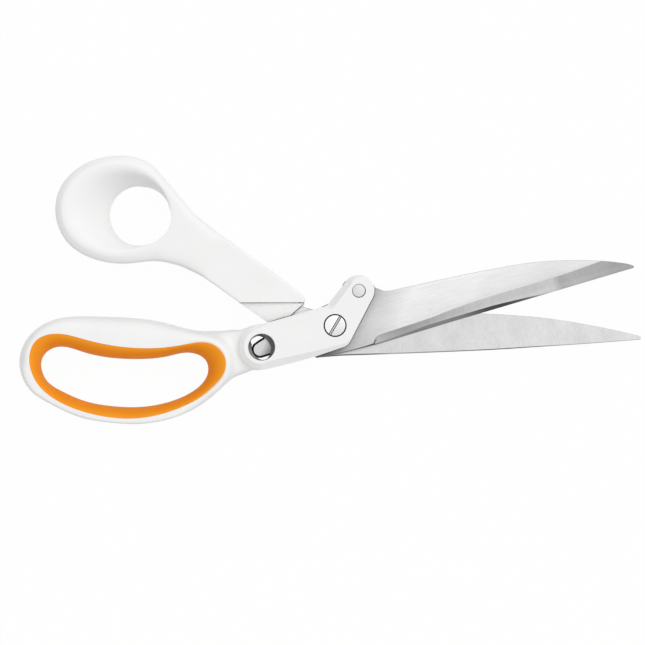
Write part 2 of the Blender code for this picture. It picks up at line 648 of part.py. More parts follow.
def window_sleeve():
    bore = SLEEVE_RADIUS - SLEEVE_WALL
    wall = sleeve_profile(bore, SLEEVE_RADIUS, ARM_LOW, ARM_TOP - SLEEVE_SINK)
    sleeve = add_object("window_sleeve", turned(wall, WINDOW), GROUND_STEEL, RIVET)
    inner = arc(WINDOW, bore - STOP_LIP_REACH, *STOP_LIP_ANGLES)
    outer = arc(WINDOW, bore + SLEEVE_WALL / 2, *STOP_LIP_ANGLES)
    lip_low = ARM_LOW + CLEARANCE
    lip = prism(outer + inner[::-1], lip_low, lip_low + STOP_LIP_HEIGHT)
    combine(sleeve, add_object("stop_lip", lip), "UNION")


def main():
    for old in list(bpy.data.objects):
        bpy.data.objects.remove(old)
    front_blade()
    rear_blade()
    finger_handle()
    thumb_handle()
    pivot_screw()
    pivot_nut()
    pivot_rings()
    lever_hardware()
    window_sleeve()


main()
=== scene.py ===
# %% [markdown]
# # Fabric shears
# Two ground steel blades turn on a slotted screw. A white thumb handle is moulded on the rear blade, and
# a white finger handle reaches over the front blade with a lever arm that turns on a rivet. An orange
# liner pads the finger loop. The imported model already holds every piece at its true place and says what
# moves with what, so this lesson only has to give each piece its finished surface.

import bmesh
import bpy
import numpy as np
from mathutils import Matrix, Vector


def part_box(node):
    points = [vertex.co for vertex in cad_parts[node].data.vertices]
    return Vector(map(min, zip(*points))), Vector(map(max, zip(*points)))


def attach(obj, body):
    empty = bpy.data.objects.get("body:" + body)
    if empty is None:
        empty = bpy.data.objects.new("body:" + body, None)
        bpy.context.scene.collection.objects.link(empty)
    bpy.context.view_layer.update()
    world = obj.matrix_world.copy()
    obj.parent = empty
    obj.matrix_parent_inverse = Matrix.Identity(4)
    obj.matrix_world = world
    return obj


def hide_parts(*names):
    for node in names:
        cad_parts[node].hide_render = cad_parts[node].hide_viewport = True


MM = 0.001

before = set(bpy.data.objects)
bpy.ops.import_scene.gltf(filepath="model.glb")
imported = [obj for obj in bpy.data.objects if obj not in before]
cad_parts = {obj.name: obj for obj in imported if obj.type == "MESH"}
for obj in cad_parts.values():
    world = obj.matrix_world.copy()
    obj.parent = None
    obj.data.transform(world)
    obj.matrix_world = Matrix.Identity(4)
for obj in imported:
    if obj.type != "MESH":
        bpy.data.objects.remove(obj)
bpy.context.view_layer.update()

# %% [markdown]
# ## Camera
# The shears lie flat and are seen from straight above, with hardly any perspective. An orthographic
# camera would do that too, but a long lens from far away keeps the other views natural. A camera that
# isn't turned looks down with +Y up in the picture, so it only has to be moved.

# %% Camera
VIEW_CENTRE = (-4.914, 1.17)
VIEW_WIDTH = 251.55
VIEW_PLANE = 10.0
VIEW_DISTANCE = 4000.0
SENSOR_WIDTH = 36.0
FAR_CLIP = 100.0

lens = bpy.data.cameras.new("overhead")
lens.sensor_width = SENSOR_WIDTH
lens.lens = SENSOR_WIDTH * VIEW_DISTANCE / VIEW_WIDTH
lens.clip_end = FAR_CLIP
camera = bpy.data.objects.new("overhead", lens)
camera.location = np.array([*VIEW_CENTRE, VIEW_PLANE + VIEW_DISTANCE]) * MM
bpy.context.scene.collection.objects.link(camera)
bpy.context.scene.camera = camera
bpy.context.scene.view_settings.view_transform = "Standard"
print(f"lens {lens.lens:.0f} mm, {VIEW_WIDTH} mm across")

# %% [markdown]
# ## Node helper
# Materials and the sky are small graphs of nodes. One helper adds a node and either sets an input or
# joins it to another node's output, which keeps each finish below short enough to read.


# %% Node helper
def add_node(tree, kind, inputs=None, **settings):
    """A new node; each input is a plain value, or another node's output that is joined to it."""
    made = tree.nodes.new("ShaderNode" + kind)
    for key, value in settings.items():
        setattr(made, key, value)
    for key, value in (inputs or {}).items():
        if isinstance(value, bpy.types.NodeSocket):
            tree.links.new(value, made.inputs[key])
        else:
            made.inputs[key].default_value = value
    return made


# %% [markdown]
# ## Studio light
# White plastic on white shows its form only by small differences of light. So the sky is a soft ramp,
# brightest overhead and dim at the horizon, and one wide lamp from the upper right adds the soft shadows.
# Together they give a level surface about as much light as it takes to show its own colour. The camera
# and mirrors see plain white, so steel shows its own tone too.

# %% Studio light
SKY_CENTRE = np.array([0.15, 0.15, 0.977])
SKY_EDGE = -0.3
SKY_DIM = 0.25
SKY_BRIGHT = 1.02
KEY_DIRECTION = np.array([0.46, 0.34, 0.82])
LAMP_STRENGTH = 0.75
LAMP_SPREAD = 50.0


def background_ray(tree):
    """1 for a ray that meets the plain background: one from the camera, a mirror or clear material."""
    ray = add_node(tree, "LightPath").outputs
    mirrored = add_node(
        tree, "Math", {0: ray["Is Glossy Ray"], 1: ray["Is Transmission Ray"]}, operation="MAXIMUM"
    )
    return add_node(
        tree, "Math", {0: ray["Is Camera Ray"], 1: mirrored.outputs[0]}, operation="MAXIMUM"
    ).outputs[0]


sky = bpy.data.worlds.new("studio")
sky.use_nodes = True
bpy.context.scene.world = sky
tree = sky.node_tree
way = add_node(tree, "TexCoord").outputs["Generated"]
facing = add_node(tree, "VectorMath", {0: way, 1: SKY_CENTRE}, operation="DOT_PRODUCT")
ramp = add_node(
    tree,
    "MapRange",
    {"Value": facing.outputs["Value"], "From Min": SKY_EDGE, "To Min": SKY_DIM, "To Max": SKY_BRIGHT},
)
level = add_node(
    tree, "Mix", {0: background_ray(tree), 2: ramp.outputs[0], 3: 1.0}, data_type="FLOAT"
)
tree.links.new(level.outputs[0], tree.nodes["Background"].inputs["Strength"])
tree.nodes["Background"].inputs["Color"].default_value = (1.0, 1.0, 1.0, 1.0)

lamp = bpy.data.lights.new("soft_key", "SUN")
lamp.energy = LAMP_STRENGTH
lamp.angle = np.radians(LAMP_SPREAD)
key = bpy.data.objects.new("soft_key", lamp)
turn = np.arctan2(KEY_DIRECTION[1], KEY_DIRECTION[0]) + np.pi / 2
key.rotation_euler = (np.arccos(KEY_DIRECTION[2]), 0.0, turn)
bpy.context.scene.collection.objects.link(key)
print(f"sky {SKY_DIM} to {SKY_BRIGHT}, lamp {LAMP_STRENGTH} over {LAMP_SPREAD} degrees")

# %% [markdown]
# ## Mesh helpers
# Every piece below is a grid of points worked out with numpy. A row is one closed line of points, and
# the skin runs from row to row. The ends are capped for a plate, joined for a ring, or left for a shape
# whose end rows shrink to a point. Points that fall together are merged, and faces are turned outwards.


# %% Mesh helpers
MERGE_DISTANCE = 1e-7


def add_mesh(name, points, faces):
    """An object from points in millimetres, with doubles merged and faces turned outwards."""
    mesh = bpy.data.meshes.new(name)
    mesh.from_pydata((np.asarray(points) * MM).tolist(), [], faces)
    shape = bmesh.new()
    shape.from_mesh(mesh)
    bmesh.ops.remove_doubles(shape, verts=shape.verts, dist=MERGE_DISTANCE)
    bmesh.ops.recalc_face_normals(shape, faces=shape.faces)
    shape.to_mesh(mesh)
    shape.free()
    made = bpy.data.objects.new(name, mesh)
    bpy.context.scene.collection.objects.link(made)
    return made


def loft(name, rows, ends="cap"):
    """A skin over rows of points: face (i, j) joins points j and j + 1 of row i to those of row i + 1."""
    rows = np.asarray(rows, float)
    index = np.arange(rows.shape[0] * rows.shape[1]).reshape(rows.shape[:2])
    after = np.roll(index, -1, axis=0)
    quads = np.stack([index, np.roll(index, -1, axis=1), np.roll(after, -1, axis=1), after], axis=-1)
    if ends != "join":
        quads = quads[:-1]
    faces = quads.reshape(-1, 4).tolist()
    if ends == "cap":
        faces += [index[0, ::-1].tolist(), index[-1].tolist()]
    return add_mesh(name, rows.reshape(-1, 3), faces)


def lifted(plan, height):
    """Plan points (x, y) at a height, or each at its own height."""
    return np.column_stack([plan, np.broadcast_to(height, len(plan))])


def rectangle(left, front, right, back):
    """The four corners of a rectangle in plan."""
    return np.array([(left, front), (right, front), (right, back), (left, back)])


# %% [markdown]
# ## Floor
# A white sweep would show nothing at all, and the shears would seem to float. The floor is pale and
# takes shadow, but to the camera and to mirrors most of it glows plain white, so only a faint shadow
# stays. It isn't part of the object.

# %% Floor
FLOOR_REACH = 20000.0
FLOOR_COLOUR = (0.8, 0.8, 0.8, 1.0)
FLOOR_GLOW = 0.97

corners = rectangle(-FLOOR_REACH, -FLOOR_REACH, FLOOR_REACH, FLOOR_REACH)
floor = add_mesh("floor", lifted(corners, 0.0), [[0, 1, 2, 3]])
paint = bpy.data.materials.new("floor_paint")
paint.use_nodes = True
tree = paint.node_tree
share = add_node(tree, "Math", {0: background_ray(tree), 1: FLOOR_GLOW}, operation="MULTIPLY")
matt = add_node(tree, "BsdfDiffuse", {"Color": FLOOR_COLOUR})
glow = add_node(tree, "Emission", {"Color": (1.0, 1.0, 1.0, 1.0), "Strength": 1.0})
mix = add_node(tree, "MixShader", {0: share.outputs[0], 1: matt.outputs[0], 2: glow.outputs[0]})
tree.links.new(mix.outputs[0], tree.nodes["Material Output"].inputs["Surface"])
floor.data.materials.append(paint)
print(f"floor of {2 * FLOOR_REACH * MM:.0f} m square")

# %% [markdown]
# ## Patterns for the finishes
# No real surface is one flat colour. Moulded plastic has a fine grain and a slow change of tone, and
# ground steel has streaks as long as the stroke of the wheel. All of these are noise on the piece's own
# coordinates, stretched to a cell size in millimetres and turned to the grain's direction.


# %% Patterns for the finishes
def new_finish(name, roughness, metallic):
    """A material with its node tree and its shader."""
    made = bpy.data.materials.new(name)
    made.use_nodes = True
    shader = made.node_tree.nodes["Principled BSDF"]
    shader.inputs["Roughness"].default_value = roughness
    shader.inputs["Metallic"].default_value = metallic
    return made, made.node_tree, shader


def grain(tree, cell, turn=0.0, detail=2.0):
    """Noise with a cell of the given size along, across and up, turned by degrees in plan."""
    spot = add_node(tree, "TexCoord").outputs["Object"]
    placed = add_node(
        tree,
        "Mapping",
        {"Vector": spot, "Rotation": (0.0, 0.0, np.radians(turn)), "Scale": np.array(cell) * MM},
        vector_type="TEXTURE",
    )
    return add_node(
        tree, "TexNoise", {"Vector": placed.outputs[0], "Scale": 1.0, "Detail": detail}
    ).outputs[0]


def spread(tree, pattern, low, high):
    """The pattern's usual range, 0.3 to 0.7, drawn out to run from low to high."""
    return add_node(
        tree,
        "MapRange",
        {"Value": pattern, "From Min": 0.3, "From Max": 0.7, "To Min": low, "To Max": high},
    ).outputs[0]


def tinted(tree, share, first, second):
    """A colour that goes from the first to the second as share goes from 0 to 1."""
    return add_node(
        tree, "Mix", {0: share, 6: (*first, 1.0), 7: (*second, 1.0)}, data_type="RGBA"
    ).outputs[2]


def raised(tree, shader, pattern, depth, strength):
    """The pattern as fine relief of the given depth in millimetres."""
    bump = add_node(tree, "Bump", {"Height": pattern, "Distance": depth * MM, "Strength": strength})
    tree.links.new(bump.outputs[0], shader.inputs["Normal"])


# %% [markdown]
# ## Moulded plastic and rubber
# The handles are satin white plastic and the liner is a matt orange rubber. Both are the same recipe: a
# slow drift of tone, a fine grain that breaks up the gloss, and the same grain as a very low relief.


# %% Moulded plastic and rubber
def moulded(name, first, second, gloss, cell, depth, shine=0.5):
    """A moulded finish: tone drifts between two colours, and roughness between the two of gloss."""
    made, tree, shader = new_finish(name, gloss[0], 0.0)
    shader.inputs["Specular IOR Level"].default_value = shine
    drift = spread(tree, grain(tree, (14.0, 14.0, 14.0)), 0.0, 1.0)
    fine = grain(tree, (cell, cell, cell), detail=3.0)
    tree.links.new(tinted(tree, drift, first, second), shader.inputs["Base Color"])
    tree.links.new(spread(tree, fine, *gloss), shader.inputs["Roughness"])
    raised(tree, shader, fine, depth, 0.5)
    return made


white_plastic = moulded(
    "white_plastic", (0.856, 0.856, 0.852), (0.874, 0.874, 0.870), (0.36, 0.5), 0.3, 0.003, 0.35
)
orange_rubber = moulded(
    "orange_rubber", (0.865, 0.292, 0.006), (0.90, 0.316, 0.010), (0.55, 0.7), 0.4, 0.012, 0.25
)
slide_plastic = moulded(
    "slide_plastic", (0.72, 0.71, 0.67), (0.78, 0.77, 0.73), (0.45, 0.6), 0.3, 0.006
)
# A near-black finish for the thin strips that paint the contact shadow lines under the arm's edges.
painted_shadow_line = moulded("painted_shadow_line", (0.03, 0.03, 0.03), (0.05, 0.05, 0.05), (0.7, 0.85), 0.2, 0.02, 0.2)
print("moulded finishes:", white_plastic.name, orange_rubber.name, slide_plastic.name, painted_shadow_line.name)

# %% [markdown]
# ## Outlines
# Flat pieces start as an outline in plan. Curves run through measured stations, and every outline is
# then stepped evenly, so that a bevel made by moving it inwards stays even too.

# %% Outlines
PLAN_STEP = 0.4


def arc(centre, radius, start, end, steps=48):
    """Points on a circle from one angle in degrees to another."""
    angle = np.radians(np.linspace(start, end, steps))
    return np.column_stack([centre[0] + radius * np.cos(angle), centre[1] + radius * np.sin(angle)])


def smooth_line(points, per_span=10):
    """An open curve: each span is a cubic whose end slopes are half the step between the outer points."""
    points = np.asarray(points, float)
    padded = np.vstack([2 * points[0] - points[1], points, 2 * points[-1] - points[-2]])
    before, start, end, after = (padded[k : len(padded) - 3 + k, None] for k in range(4))
    share = (np.arange(per_span) / per_span)[None, :, None]
    rise = share**2 * (3 - 2 * share)
    pull = (end - before) * share * (1 - share) ** 2 - (after - start) * share**2 * (1 - share)
    line = start * (1 - rise) + end * rise + pull / 2
    return np.vstack([line.reshape(-1, points.shape[1]), points[-1:]])


def smooth_ring(points, knots, samples):
    """A closed curve: cubic spans whose slopes at the points make the bend the same on both sides."""
    steps = np.diff(knots)[:, None]
    before = np.roll(steps, 1, axis=0)
    slopes = (np.roll(points, -1, axis=0) - points) / steps
    size = len(points)
    row = np.arange(size)
    system = np.zeros((size, size))
    system[row, row] = 2 * (steps + before)[:, 0]
    system[row, row - 1] = steps[:, 0]
    system[row, (row + 1) % size] = before[:, 0]
    pull = np.linalg.solve(system, 3 * (steps * np.roll(slopes, 1, axis=0) + before * slopes))
    span = np.clip(np.searchsorted(knots, samples, side="right") - 1, 0, size - 1)
    after = (span + 1) % size
    share = (samples[:, None] - knots[span][:, None]) / steps[span]
    rise = share**2 * (3 - 2 * share)
    line = points[span] * (1 - rise) + points[after] * rise
    bend = pull[span] * share * (1 - share) ** 2 - pull[after] * share**2 * (1 - share)
    return line + bend * steps[span]


def run_length(points):
    """Distance along a closed line to each of its points, and back to the first."""
    step = np.linalg.norm(np.roll(points, -1, axis=0) - points, axis=1)
    return np.concatenate([[0.0], np.cumsum(step)])


def evenly(stations, spacing):
    """The closed outline with its points stepped evenly; further columns are carried along."""
    stations = np.asarray(stations, float)
    run = run_length(stations[:, :2])
    closed = np.vstack([stations, stations[:1]])
    step = np.arange(int(run[-1] / spacing)) * run[-1] / int(run[-1] / spacing)
    return np.column_stack([np.interp(step, run, column) for column in closed.T])


def inset(outline, distance):
    """An anticlockwise outline moved inwards: each point goes along the mean of its sides' normals."""
    ahead = np.roll(outline, -1, axis=0) - outline
    ahead /= np.linalg.norm(ahead, axis=1)[:, None]
    inward = np.column_stack([-ahead[:, 1], ahead[:, 0]])
    mitre = inward + np.roll(inward, 1, axis=0)
    mitre /= np.maximum(np.sum(mitre * inward, axis=1), 0.5)[:, None]
    return outline + np.broadcast_to(distance, len(outline))[:, None] * mitre


def banded(points, width, depth):
    """Outline points with the bevel that they carry; width and depth may run from one value to another."""
    points = np.asarray(points, float)
    share = np.linspace(0.0, 1.0, len(points))
    ends = np.array([np.broadcast_to(width, 2), np.broadcast_to(depth, 2)])
    return np.column_stack([points, *(low + (high - low) * share for low, high in ends)])


def sloping(height, spot, fall):
    """A top that is at the height over one spot and changes by fall per millimetre along x and y."""
    return lambda plan: height + (plan - spot) @ np.array(fall)


def plate(name, stations, low, high, spacing=PLAN_STEP, foot=0.1, crown=1.0, draft=0.0):
    """A flat piece whose stations are (x, y, bevel width, bevel depth); its top is level or sloping.

    Rows go up from a small bevel at the foot, along the side, which leans inwards below by the draft,
    and over the bevel, where the height left to the top is the depth times (1 - share) to the power
    crown: 1 is flat and 2 is round.
    """
    outline = evenly(stations, spacing)
    plan, width, depth = outline[:, :2], outline[:, 2], outline[:, 3]
    rows = [lifted(inset(plan, draft + foot), low), lifted(inset(plan, draft), low + foot)]
    for share in np.linspace(0.0, 1.0, 2 if crown == 1.0 else 7):
        row = inset(plan, width * share)
        top = high(row) if callable(high) else high
        rows.append(lifted(row, top - depth * (1 - share) ** crown))
    return loft(name, rows)


# %% [markdown]
# ## Joining, softening and cutting
# The handles are mouldings in which a loop, a neck and an arm flow into each other. Boolean union would
# leave a hard line at each joint. Remesh builds one even skin over overlapping parts instead, and a
# round of averaging with the neighbours melts the joints, strongly only where a weight says so. Holes
# and seats are cut after that, so their edges stay crisp.


# %% Joining, softening and cutting
def settle(piece):
    """Makes the result of the piece's modifiers its own mesh."""
    graph = bpy.context.evaluated_depsgraph_get()
    mesh = bpy.data.meshes.new_from_object(piece.evaluated_get(graph))
    piece.modifiers.clear()
    piece.data = mesh


def fuse(name, parts, voxel):
    """One skin round overlapping closed parts, on a cubic grid with the given cell in millimetres."""
    shape = bmesh.new()
    for part in parts:
        shape.from_mesh(part.data)
        bpy.data.objects.remove(part)
    mesh = bpy.data.meshes.new(name)
    shape.to_mesh(mesh)
    shape.free()
    made = bpy.data.objects.new(name, mesh)
    bpy.context.scene.collection.objects.link(made)
    skin = made.modifiers.new("skin", "REMESH")
    skin.mode = "VOXEL"
    skin.voxel_size = voxel * MM
    settle(made)
    return made


def points_of(mesh):
    """The mesh's points in millimetres."""
    points = np.empty(len(mesh.vertices) * 3)
    mesh.vertices.foreach_get("co", points)
    return points.reshape(-1, 3) / MM


def move_points(mesh, points):
    """Puts the mesh's points at new places in millimetres."""
    mesh.vertices.foreach_set("co", (points * MM).ravel())
    mesh.update()


def soften(piece, rounds, weight):
    """Each round moves every point by its weight, 0 to 1, towards the mean of its neighbours."""
    mesh = piece.data
    points = points_of(mesh)
    count = len(points)
    pairs = np.empty(len(mesh.edges) * 2, np.int32)
    mesh.edges.foreach_get("vertices", pairs)
    near, far = np.concatenate([pairs.reshape(-1, 2), pairs.reshape(-1, 2)[:, ::-1]]).T
    share = weight(points)[:, None] / np.bincount(near, minlength=count)[:, None]
    whole = share * np.bincount(near, minlength=count)[:, None]
    for _ in range(rounds):
        total = np.column_stack([np.bincount(near, points[far, k], count) for k in range(3)])
        points += share * total - whole * points
    move_points(mesh, points)


def carve(piece, tool, operation="DIFFERENCE"):
    """Cuts the tool from the piece, or joins it to the piece, and throws the tool away."""
    cut = piece.modifiers.new("cut", "BOOLEAN")
    cut.operation = operation
    cut.solver = "MANIFOLD"
    cut.object = tool
    settle(piece)
    bpy.data.objects.remove(tool)


def turned(name, profile, centre=(0.0, 0.0), steps=96):
    """A profile of (radius, height) points turned about an upright axis through the centre.

    A profile that starts on the axis is a solid; any other is the closed section of a ring.
    """
    profile = np.asarray(profile, float)
    angle = np.arange(steps) * 2 * np.pi / steps
    circle = np.stack([np.cos(angle), np.sin(angle)], axis=-1)
    plan = centre + profile[:, :1, None] * circle[None]
    height = np.broadcast_to(profile[:, 1:, None], (len(profile), steps, 1))
    rows = np.concatenate([plan, height], axis=-1)
    return loft(name, rows, "open" if profile[0, 0] == 0.0 else "join")


def drill(piece, centre, radius, low, high):
    """Bores a round hole between two heights."""
    bar = [(0.0, low), (radius, low), (radius, high), (0.0, high)]
    carve(piece, turned("drill", bar, centre))


def punch(piece, plan, low, high, lean=(0.0, 0.0)):
    """Cuts out a plan between two heights; by the lean, it is moved back below and forward above."""
    shift = np.array(lean)
    carve(piece, loft("punch", [lifted(plan - shift, low), lifted(plan + shift, high)]))


# %% [markdown]
# ## Handing a piece over
# A finished piece gets smooth shading with its creases kept, its finish, and its place in the frame: the
# body that it moves with, and the imported node that it stands for, if there is one.


# %% Handing a piece over
def finish_by_tilt(mesh, limits):
    """Gives each face the finish whose number is how many limits its normal's upright part lies below."""
    normals = np.empty(len(mesh.polygons) * 3)
    mesh.polygons.foreach_get("normal", normals)
    upright = np.abs(normals.reshape(-1, 3)[:, 2:])
    number = np.sum(upright < np.array(limits), axis=1)
    mesh.polygons.foreach_set("material_index", number.astype(np.int32))


def finish_between(mesh, low, high, number):
    """Gives the faces whose middle lies between two heights one finish."""
    middles = np.empty(len(mesh.polygons) * 3)
    mesh.polygons.foreach_get("center", middles)
    height = middles.reshape(-1, 3)[:, 2] / MM
    chosen = np.empty(len(mesh.polygons), np.int32)
    mesh.polygons.foreach_get("material_index", chosen)
    chosen[(height > low) & (height < high)] = number
    mesh.polygons.foreach_set("material_index", chosen)


def show(piece, finishes, body, node, crease=35.0, limits=(-1.0,)):
    """Finishes a piece and ties it to the frame; limits part its finishes by how far a face leans."""
    piece.data.materials.clear()
    for finish in finishes:
        piece.data.materials.append(finish)
    finish_by_tilt(piece.data, limits)
    piece.data.shade_smooth()
    piece.data.set_sharp_from_angle(angle=np.radians(crease))
    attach(piece, body)
    if node:
        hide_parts(node)
    size = np.round(np.array(piece.dimensions) / MM, 1)
    print(f"{piece.name}: {len(piece.data.polygons)} faces, {size} mm")


# %% [markdown]
# ## Heights
# The stack on the pivot, from the rest surface up: nut, washer, rear blade, front blade, arm. They are
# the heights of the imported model, and the rivet and the window lie where it has them. The packed
# handle's box is printed to compare.

# %% Heights
REAR_LOW, REAR_TOP = 4.7, 7.4
FRONT_LOW, FRONT_TOP = 7.7, 10.4
ARM_LOW, ARM_TOP = 10.7, 15.4
OVERRUN = 1.0
RIVET = (9.2, 13.6)
WINDOW = (-28.6, -8.4)
BLADE_REACH = 119.3

arm_box = np.array(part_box("finger_handle")) / MM
print("finger handle from", arm_box[0].round(1), "to", arm_box[1].round(1))

# %% [markdown]
# ## Finger loop
# The loop is a ring whose white side bulges outwards and whose orange side bulges into the hole. Its
# plan is three closed lines: outer edge, seam and hole edge, each through twenty measured stations. The
# section between two of the lines is half an oval, so one function makes both rings.

# %% Finger loop
LOOP_TOP = 16.5
LOOP_MIDDLE = 7.6
LOOP_STEPS = 320
SEAT_OVERLAP = 1.2
RIM_LAND = 0.2
SIDE_FULLNESS = 2.0
BACK_FULLNESS = 3.0
FRONT_FULLNESS = 8.0
LINER_FULLNESS = 1.8
LINER_SINK = 0.25
FINGER_STATIONS = np.array(
    [
        (-123.2, -14.2, -119.1, -14.2, -114.6, -14.2),
        (-120.5, -5.7, -116.6, -6.0, -112.3, -10.2),
        (-110.4, 2.0, -108.5, -3.2, -107.5, -8.3),
        (-97.9, 3.6, -98.3, -5.2, -98.8, -10.2),
        (-87.0, 3.3, -87.8, -7.6, -88.3, -12.5),
        (-75.3, 2.6, -76.1, -8.8, -76.6, -13.1),
        (-63.6, 0.3, -64.4, -8.3, -65.2, -12.0),
        (-54.3, -2.0, -55.7, -6.9, -57.8, -10.6),
        (-46.6, -3.7, -48.4, -7.1, -53.0, -11.6),
        (-39.4, -11.5, -42.9, -12.7, -50.65, -13.4),
        (-39.6, -18.2, -43.2, -18.1, -49.5, -17.3),
        (-45.0, -25.1, -47.2, -23.4, -51.8, -22.5),
        (-52.4, -31.1, -53.8, -28.7, -57.1, -26.6),
        (-63.6, -36.2, -64.3, -33.5, -65.9, -30.1),
        (-76.5, -38.4, -76.5, -36.1, -76.9, -31.8),
        (-88.6, -37.8, -88.3, -35.7, -87.3, -31.4),
        (-100.3, -35.5, -99.2, -33.2, -97.1, -29.6),
        (-110.4, -30.9, -108.9, -28.9, -106.4, -25.7),
        (-118.2, -25.9, -115.8, -22.9, -112.75, -21.1),
        (-122.2, -19.7, -118.2, -18.3, -114.2, -18.1),
    ]
)

loop_lines = np.split(FINGER_STATIONS, 3, axis=1)
loop_knots = [run_length(line) for line in loop_lines]
number = np.arange(len(FINGER_STATIONS) + 1.0)
seam_length = loop_knots[1][-1]
place = np.interp(np.arange(LOOP_STEPS) * seam_length / LOOP_STEPS, loop_knots[1], number)
loop_edge, loop_seam, loop_hole = (
    smooth_ring(line, knots, np.interp(place, number, knots)) for line, knots in zip(loop_lines, loop_knots)
)


def half_oval(low, top, power, steps=41):
    """(share, height) round half an oval, from foot to top: one row per step, one column per power.

    Share is the cosine and height the sine of an angle, both raised to 2 / power: power 2 is a true
    oval, and a larger one has fuller shoulders.
    """
    angle = np.linspace(-np.pi / 2, np.pi / 2, steps)[:, None]
    reach = np.where(angle < 0, LOOP_MIDDLE - low, top - LOOP_MIDDLE)
    rise = np.sign(angle) * np.abs(np.sin(angle)) ** (2 / power)
    return np.abs(np.cos(angle)) ** (2 / power), LOOP_MIDDLE + reach * rise


def ring_rows(near, far, shares, heights):
    """Rows of a ring: each row lies at its shares of the way from the near line to the far line."""
    plan = near + shares[..., None] * (far - near)
    return np.concatenate([plan, np.broadcast_to(heights, plan.shape[:2])[..., None]], axis=-1)


outward = loop_edge - loop_seam
outward /= np.linalg.norm(outward, axis=1)[:, None]
lean = outward[:, 1]
fullness = SIDE_FULLNESS + np.abs(lean) * (np.where(lean > 0, BACK_FULLNESS, FRONT_FULLNESS) - SIDE_FULLNESS)
shares, heights = half_oval(0.0, LOOP_TOP, fullness)
inner = loop_seam - SEAT_OVERLAP * outward
loop_rows = ring_rows(loop_seam, loop_edge, RIM_LAND + (1 - RIM_LAND) * shares, heights)
loop_rows = [lifted(inner, 0.0), *loop_rows, lifted(inner, LOOP_TOP)]
finger_loop = loft("finger_loop", loop_rows, "join")
print(f"loop round {seam_length:.0f} mm of seam")

# %% [markdown]
# ## Lever arm and neck
# The arm is a flat bar with a round end at the window and a lobe at the rivet. Its top edge is bevelled
# by different amounts: wide along the lower side and round the lobe's left, hardly at all at the screw.
# So the outline carries its bevel's width and depth from station to station.

# %% Lever arm and neck
CORE_INSET = 0.5
CORE_LOW, CORE_TOP = ARM_LOW + 0.3, ARM_TOP - 0.5
NECK_LOW, NECK_TOP = 2.0, 12.0
NECK_SPOT = (-36.0, -9.0)
NECK_FALL = (0.22, 0.08)
NECK_LOOP_SIDE = [
    (-40.6, -1.85), (-48.0, -2.2), (-53.0, -2.2), (-50.0, -4.9), (-42.4, -9.5), (-41.2, -17.0),
    (-44.0, -21.6), (-48.6, -26.0), (-44.1, -23.6), (-38.6, -19.6),
]  # fmt: skip
NECK_LOWER_END = [(-32.0, -17.9), (-33.2, -15.0), (-33.8, -9.0), (-35.4, -4.0), (-38.0, -0.85)]
NECK_UPPER_END = [(-27.5, -17.1), (-29.0, -9.0), (-28.0, 0.8), (-31.0, 0.2), (-37.1, -0.6)]

arm_stations = np.vstack(
    [
        banded(arc(WINDOW, 8.8, 105, 270), (1.6, 2.3), (1.4, 2.0)),
        banded(arc(WINDOW, 8.8, 272, 285, 6), (2.4, 2.9), (2.1, 2.3)),
        banded([(-15.6, -14.3), (-7.4, -12.0)], (2.6, 2.1), (2.2, 1.8)),
        banded(arc((1.95, -4.05), 4.5, -73, -24), (1.3, 0.35), (0.9, 0.3)),
        banded(arc(RIVET, 6.15, -23.6, 70), 0.35, 0.3),
        banded(arc(RIVET, 6.15, 72, 142.2), (0.5, 2.4), (0.5, 2.7)),
        banded([(-2.6, 8.4), (-3.7, 7.6), (-5.4, 7.1)], (2.4, 0.6), (2.7, 0.5)),
        banded([(-25.8, 1.3)], 0.5, 0.4),
    ]
)
arm = plate("arm", arm_stations, ARM_LOW, ARM_TOP, foot=0.5)
core_stations = banded(inset(evenly(arm_stations, PLAN_STEP)[:, :2], CORE_INSET), 2.4, 2.0)
arm_core = plate("arm_core", core_stations, CORE_LOW, CORE_TOP)
neck_top = sloping(NECK_TOP, NECK_SPOT, NECK_FALL)
lower_neck = plate(
    "lower_neck", banded(NECK_LOOP_SIDE + NECK_LOWER_END, 0.8, 0.8), NECK_LOW, neck_top, crown=2.0
)
upper_neck = plate(
    "upper_neck", banded(NECK_LOOP_SIDE + NECK_UPPER_END, 0.8, 0.8), ARM_LOW, neck_top, crown=2.0
)
print("arm and neck ready to join")

# %% [markdown]
# ## Finger handle
# Loop, neck and the arm's core become one moulding. The neck is softened most, so that it sinks between
# the loop and the raised boss round the window. The arm itself joins by Boolean, because its edges are
# crisp. Then the liner's seat, the window, the screw's clearance hole and the rivet's stepped hole are cut.

# %% Finger handle
VOXEL = 0.42
WINDOW_HOLE = 5.27
SCREW_HOLE = 4.5
RIVET_HOLE = 2.68
RIVET_SHADE = (9.28, 13.52)
BUSH_HOLE = 2.72
BUSH_TOP = 13.5


def step_between(value, start, end):
    """A smooth step from 0 at start to 1 at end."""
    share = np.clip((value - start) / (end - start), 0.0, 1.0)
    return share**2 * (3 - 2 * share)


def neck_weight(points):
    """1 over the neck, fading towards the loop and the boss round the window."""
    from_window = np.linalg.norm(points[:, :2] - WINDOW, axis=1)
    right = step_between(from_window, 8.6, 11.5) * step_between(points[:, 0], -24.0, -30.0)
    return right * step_between(points[:, 0], -62.0, -50.0)


def even_weight(points):
    """The same everywhere."""
    return np.full(len(points), 0.5)


